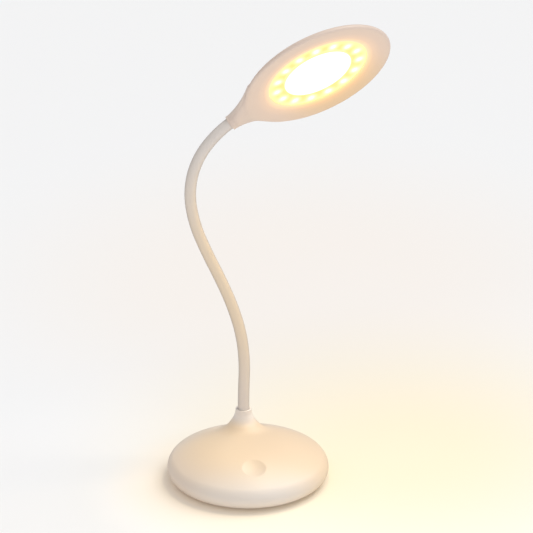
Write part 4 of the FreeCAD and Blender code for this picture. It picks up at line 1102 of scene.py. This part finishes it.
# Painted light and shade in the base's colour: a darker patch at the left rim (painted shade), the
# lamp's warm light painted over the top and the right side, a lighter neutral patch on the trumpet
# (painted light), and painted shade towards the outline.
base_plastic = moulded(
    "base_off_white_plastic", (0.775, 0.725, 0.69), (0.73, 0.68, 0.645), 2600.0, 0.46, 0.35, 0.05,
    SHELL_SHADER,
    (painted_light_and_shade(((-0.055, -0.012, 0.02), 0.012, 0.052, (0.72, 0.635, 0.585)),
                 ((-0.012, 0.002, 0.052), 0.03, 0.09, (0.845, 0.665, 0.47)),
                 ((0.046, -0.004, 0.04), 0.028, 0.074, (0.755, 0.59, 0.42)),
                 ((0.0, 0.028, 0.053), 0.012, 0.022, (0.84, 0.76, 0.69))),
     outline_shade(5.0, 0.55, (0.3, 0.25, 0.22))))
# The head is the same off-white plastic as the base, given a darker, warmer colour as painted shade
# and painted warm light, with painted light round the lamp unit and painted shade towards the
# outline.
head_plastic = moulded(
    "head_off_white_plastic_painted_warm_shade", (0.735, 0.62, 0.53), (0.69, 0.575, 0.485), 2600.0, 0.46, 0.35, 0.05,
    SHELL_SHADER, (face_painted_light, outline_shade(5.0, 0.5, (0.3, 0.25, 0.22))))
# Painted light and shade in the sleeve's colour: the lamp's warm light painted over the neck round
# its middle, and painted shade towards the outline.
sleeve_silicone = moulded(
    "sleeve_soft_silicone", (0.76, 0.69, 0.635), (0.71, 0.64, 0.585), 3400.0, 0.55, 0.4, 0.06,
    {"Sheen Weight": 0.1, "Sheen Roughness": 0.5},
    (painted_light_and_shade(((0.0, 0.028, 0.165), 0.03, 0.13, (0.80, 0.655, 0.49))),
     outline_shade(2.0, 1.0, (0.27, 0.23, 0.2))))
# The clear lens is drawn nearly opaque, with a dark golden colour and a painted glow in place of
# the lamps' light shining through it.
lens_acrylic = moulded(
    "lens_acrylic", (0.22, 0.18, 0.1), (0.2, 0.16, 0.09), 900.0, 0.15, 0.2, 0.01,
    {"IOR": 1.49, "Coat Weight": 0.3, "Coat Roughness": 0.08}, (lens_painted_glow,))
diffuser_milk = moulded("diffuser_milky", (0.95, 0.93, 0.88), (0.92, 0.9, 0.85),
                        1500.0, 0.4, 0.2, 0.02, None, (plain_light((1.0, 0.97, 0.88), 1.5),))
chip_phosphor = moulded("chip_phosphor", (0.95, 0.85, 0.5), (0.95, 0.8, 0.4),
                        3000.0, 0.3, 0.3, 0.02, None, (plain_light((1.0, 0.97, 0.82), 1.9),))
lead_white = moulded("lead_white_insulation", (0.7, 0.68, 0.63), (0.62, 0.6, 0.56),
                     1500.0, 0.45, 0.4, 0.1)


def dress(finish, *node_names):
    """Gives a finish to nodes that show as packed."""
    for node_name in node_names:
        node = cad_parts[node_name]
        if not node.material_slots:
            node.data.materials.append(finish)
        for place in node.material_slots:
            place.material = finish


# The white reflector tray gets a dark golden colour and a painted glow in place of the lamps' light
# on it.
dress(moulded("tray_white_plastic_painted_glow", (0.42, 0.34, 0.2), (0.38, 0.3, 0.17),
              2000.0, 0.4, 0.2, 0.03, None, (tray_painted_glow,)), "reflector_tray")
dress(moulded("lead_red_insulation", (0.42, 0.03, 0.02), (0.3, 0.02, 0.015),
              1500.0, 0.45, 0.4, 0.1), "battery_leads", "touch_lead", "charge_leads")
dress(moulded("cover_plastic", (0.72, 0.68, 0.63), (0.66, 0.62, 0.57), 1800.0, 0.55, 0.4, 0.12),
      "base_bottom_cover")
dress(moulded("foot_rubber", (0.035, 0.035, 0.036), (0.06, 0.06, 0.06), 1400.0, 0.8, 0.6, 0.3),
      "foot_pad")
dress(moulded("board_green_resist", (0.015, 0.12, 0.045), (0.03, 0.2, 0.08),
              420.0, 0.3, 0.9, 0.2, {"Coat Weight": 0.3}), "control_board", "charge_board")
dress(moulded("board_white_resist", (0.8, 0.8, 0.78), (0.72, 0.72, 0.7), 420.0, 0.3, 0.6, 0.1),
      "led_board")
dress(moulded("black_moulding", (0.02, 0.02, 0.02), (0.04, 0.04, 0.04), 1500.0, 0.4, 0.5, 0.15),
      "board_components", "socket_tongue")
dress(moulded("foam_black", (0.03, 0.03, 0.03), (0.07, 0.07, 0.07), 700.0, 0.85, 0.8, 0.6),
      "battery_pad")
dress(metal("plated_steel", (0.6, 0.6, 0.61), (0.42, 0.42, 0.43), 0.3, 0.15),
      "base_screws", "counterweight_screws", "board_screws", "charge_socket", "neck_washer",
      "neck_clip", "led_board_screws")
dress(metal("wound_hose_steel", (0.5, 0.5, 0.51), (0.3, 0.3, 0.31), 0.35, 0.6,
            stretch=(0.2, 0.2, 2.0)),
      *("neck_hose_%02d" % number for number in range(1, 11)))
dress(metal("turned_brass", (0.72, 0.52, 0.22), (0.5, 0.34, 0.14), 0.3, 0.15),
      "neck_base_ferrule", "neck_nut", "neck_head_ferrule")
dress(metal("copper_foil", (0.75, 0.38, 0.22), (0.55, 0.26, 0.15), 0.35, 0.15), "touch_electrode")
dress(metal("painted_cast_iron", (0.06, 0.06, 0.065), (0.1, 0.1, 0.1), 0.6, 0.8, 0.3),
      "counterweight")
dress(metal("cell_foil", (0.62, 0.63, 0.65), (0.5, 0.5, 0.52), 0.4, 0.3, 0.9), "battery_cell")

# Pieces

shell = base_shell(base_plastic)
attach(shell, "base")
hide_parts("base_top_shell")

face, back = head_shells(head_plastic)
for shell_piece, node_name in ((face, "head_face_shell"), (back, "head_back_shell")):
    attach(shell_piece, "head")
    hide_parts(node_name)

tube = tube_tree()
neck_sleeve(tube, sleeve_silicone)
lamp_lead(tube, lead_white)

flange_radius, flange_front, lens_front = 43.6, -LENS_SEAT - 0.02, -FACE_DISH - 0.3
lens_profile = [
    (AXIS_RADIUS, -LENS_BACK), (flange_radius - 0.2, -LENS_BACK), (flange_radius, -LENS_BACK + 0.2),
    (flange_radius, flange_front), (LENS_RADIUS, flange_front), (LENS_RADIUS, lens_front - 0.45),
    (LENS_RADIUS - 0.12, lens_front - 0.15), (LENS_RADIUS - 0.45, lens_front), (30.0, lens_front),
    (15.0, lens_front), (AXIS_RADIUS, lens_front)]
lens = lathe("lens_window", lens_profile, 128, lens_acrylic)
disc_profile = rounded_disc(DIFFUSER_RADIUS, -LENS_BACK - 0.98, -LENS_BACK - 0.05, 0.3)
diffuser = lathe("diffuser_disc", disc_profile, 96, diffuser_milk)
copies = ring_tree()
ring_lamps = lamp_chips("ring_lamps", copies, RING_LAMP_COUNT, RING_LAMP_RADIUS, chip_phosphor)
for count, radius in ((4, 9.0), (8, 19.0)):
    some = lamp_chips("centre_lamps_%d" % count, copies, count, radius, chip_phosphor)
    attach(some, "head")
    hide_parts("centre_leds")
for lamp_piece, node_name, slot in ((lens, "lens", "lens_clear"),
                                    (diffuser, "centre_diffuser", "diffuser_white"),
                                    (ring_lamps, "ring_leds", "lamp_chip")):
    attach(lamp_piece, "head")
    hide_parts(node_name)

# Floor, light and camera

FLOOR_REACH = 6.0
CAMERA_ELEVATION = math.radians(25.0)
CAMERA_TURN = math.radians(7.5)
CAMERA_DISTANCE = 4.5
CAMERA_TARGET = Vector((23.68, 65.51, 155.90)) * MM

# Painted light in the floor's colour: warm pools of the lamp's light behind the lamp, round the
# base and to its right, and a faint painted bounce glow that lightens the shadow to the base's left
# and front.
floor_paper = moulded(
    "floor_paper", (0.865, 0.865, 0.87), (0.855, 0.855, 0.86), 900.0, 0.85, 0.3, 0.02,
    {"Specular IOR Level": 0.1},
    (painted_light_and_shade(((0.10, 0.35, 0.0), 0.08, 0.36, (0.885, 0.84, 0.80)),
                 ((-0.01, -0.01, 0.0), 0.055, 0.115, (0.87, 0.80, 0.72)),
                 ((0.13, 0.03, 0.0), 0.03, 0.30, (0.865, 0.79, 0.63))),
     painted_bounce_light((-0.03, -0.03, 0.0), 0.05, 0.115, (0.1, 0.08, 0.065))))
floor_mesh = bpy.data.meshes.new("floor")
floor_mesh.from_pydata([(x * FLOOR_REACH, y * FLOOR_REACH, 0)
                        for x, y in ((-1, -1), (1, -1), (1, 1), (-1, 1))], [], [(0, 1, 2, 3)])
floor_mesh.materials.append(floor_paper)
floor = bpy.data.objects.new("floor", floor_mesh)
bpy.context.scene.collection.objects.link(floor)

world = bpy.data.worlds.new("studio")
bpy.context.scene.world = world
world.use_nodes = True
world.node_tree.nodes["Background"].inputs["Color"].default_value = (0.975, 0.985, 1.0, 1)
world.node_tree.nodes["Background"].inputs["Strength"].default_value = 0.635


def light(kind, name, place, target, power, colour, **settings):
    data = bpy.data.lights.new(name, kind)
    data.energy = power
    data.color = colour
    for label, value in settings.items():
        setattr(data, label, value)
    lamp = bpy.data.objects.new(name, data)
    bpy.context.scene.collection.objects.link(lamp)
    lamp.location = place
    lamp.rotation_euler = (Vector(target) - Vector(place)).to_track_quat("-Z", "Y").to_euler()


lamp_mouth = head_place([(0.0, 0.0, 2.0)])[0] * MM
light("AREA", "lamp_light", lamp_mouth, lamp_mouth + HEAD_NORMAL, 0.35, (1.0, 0.78, 0.42),
      shape="DISK", size=0.08)
light("SUN", "window", (0.75, 0.35, 1.15), (0, 0, 0), 1.62, (1.0, 0.985, 0.96),
      angle=math.radians(45.0))
light("AREA", "front_fill", (0.3, -1.55, 0.7), (0, 0, 0.1), 2.8, (0.97, 0.98, 1.0),
      shape="DISK", size=0.9)

ahead = Vector((math.sin(CAMERA_TURN), math.cos(CAMERA_TURN), 0))
right = Vector((math.cos(CAMERA_TURN), -math.sin(CAMERA_TURN), 0))
up = ahead * math.sin(CAMERA_ELEVATION) + Vector((0, 0, 1)) * math.cos(CAMERA_ELEVATION)
towards = -ahead * math.cos(CAMERA_ELEVATION) + Vector((0, 0, 1)) * math.sin(CAMERA_ELEVATION)
camera_data = bpy.data.cameras.new("camera")
camera_data.lens = 376.66
camera_data.sensor_width = 36.0
camera_data.clip_end = 100.0
camera = bpy.data.objects.new("camera", camera_data)
bpy.context.scene.collection.objects.link(camera)
pose = Matrix((right, up, towards)).transposed().to_4x4()
pose.translation = CAMERA_TARGET + towards * CAMERA_DISTANCE
camera.matrix_world = pose
bpy.context.scene.camera = camera

bpy.context.scene.view_settings.view_transform = "Standard"
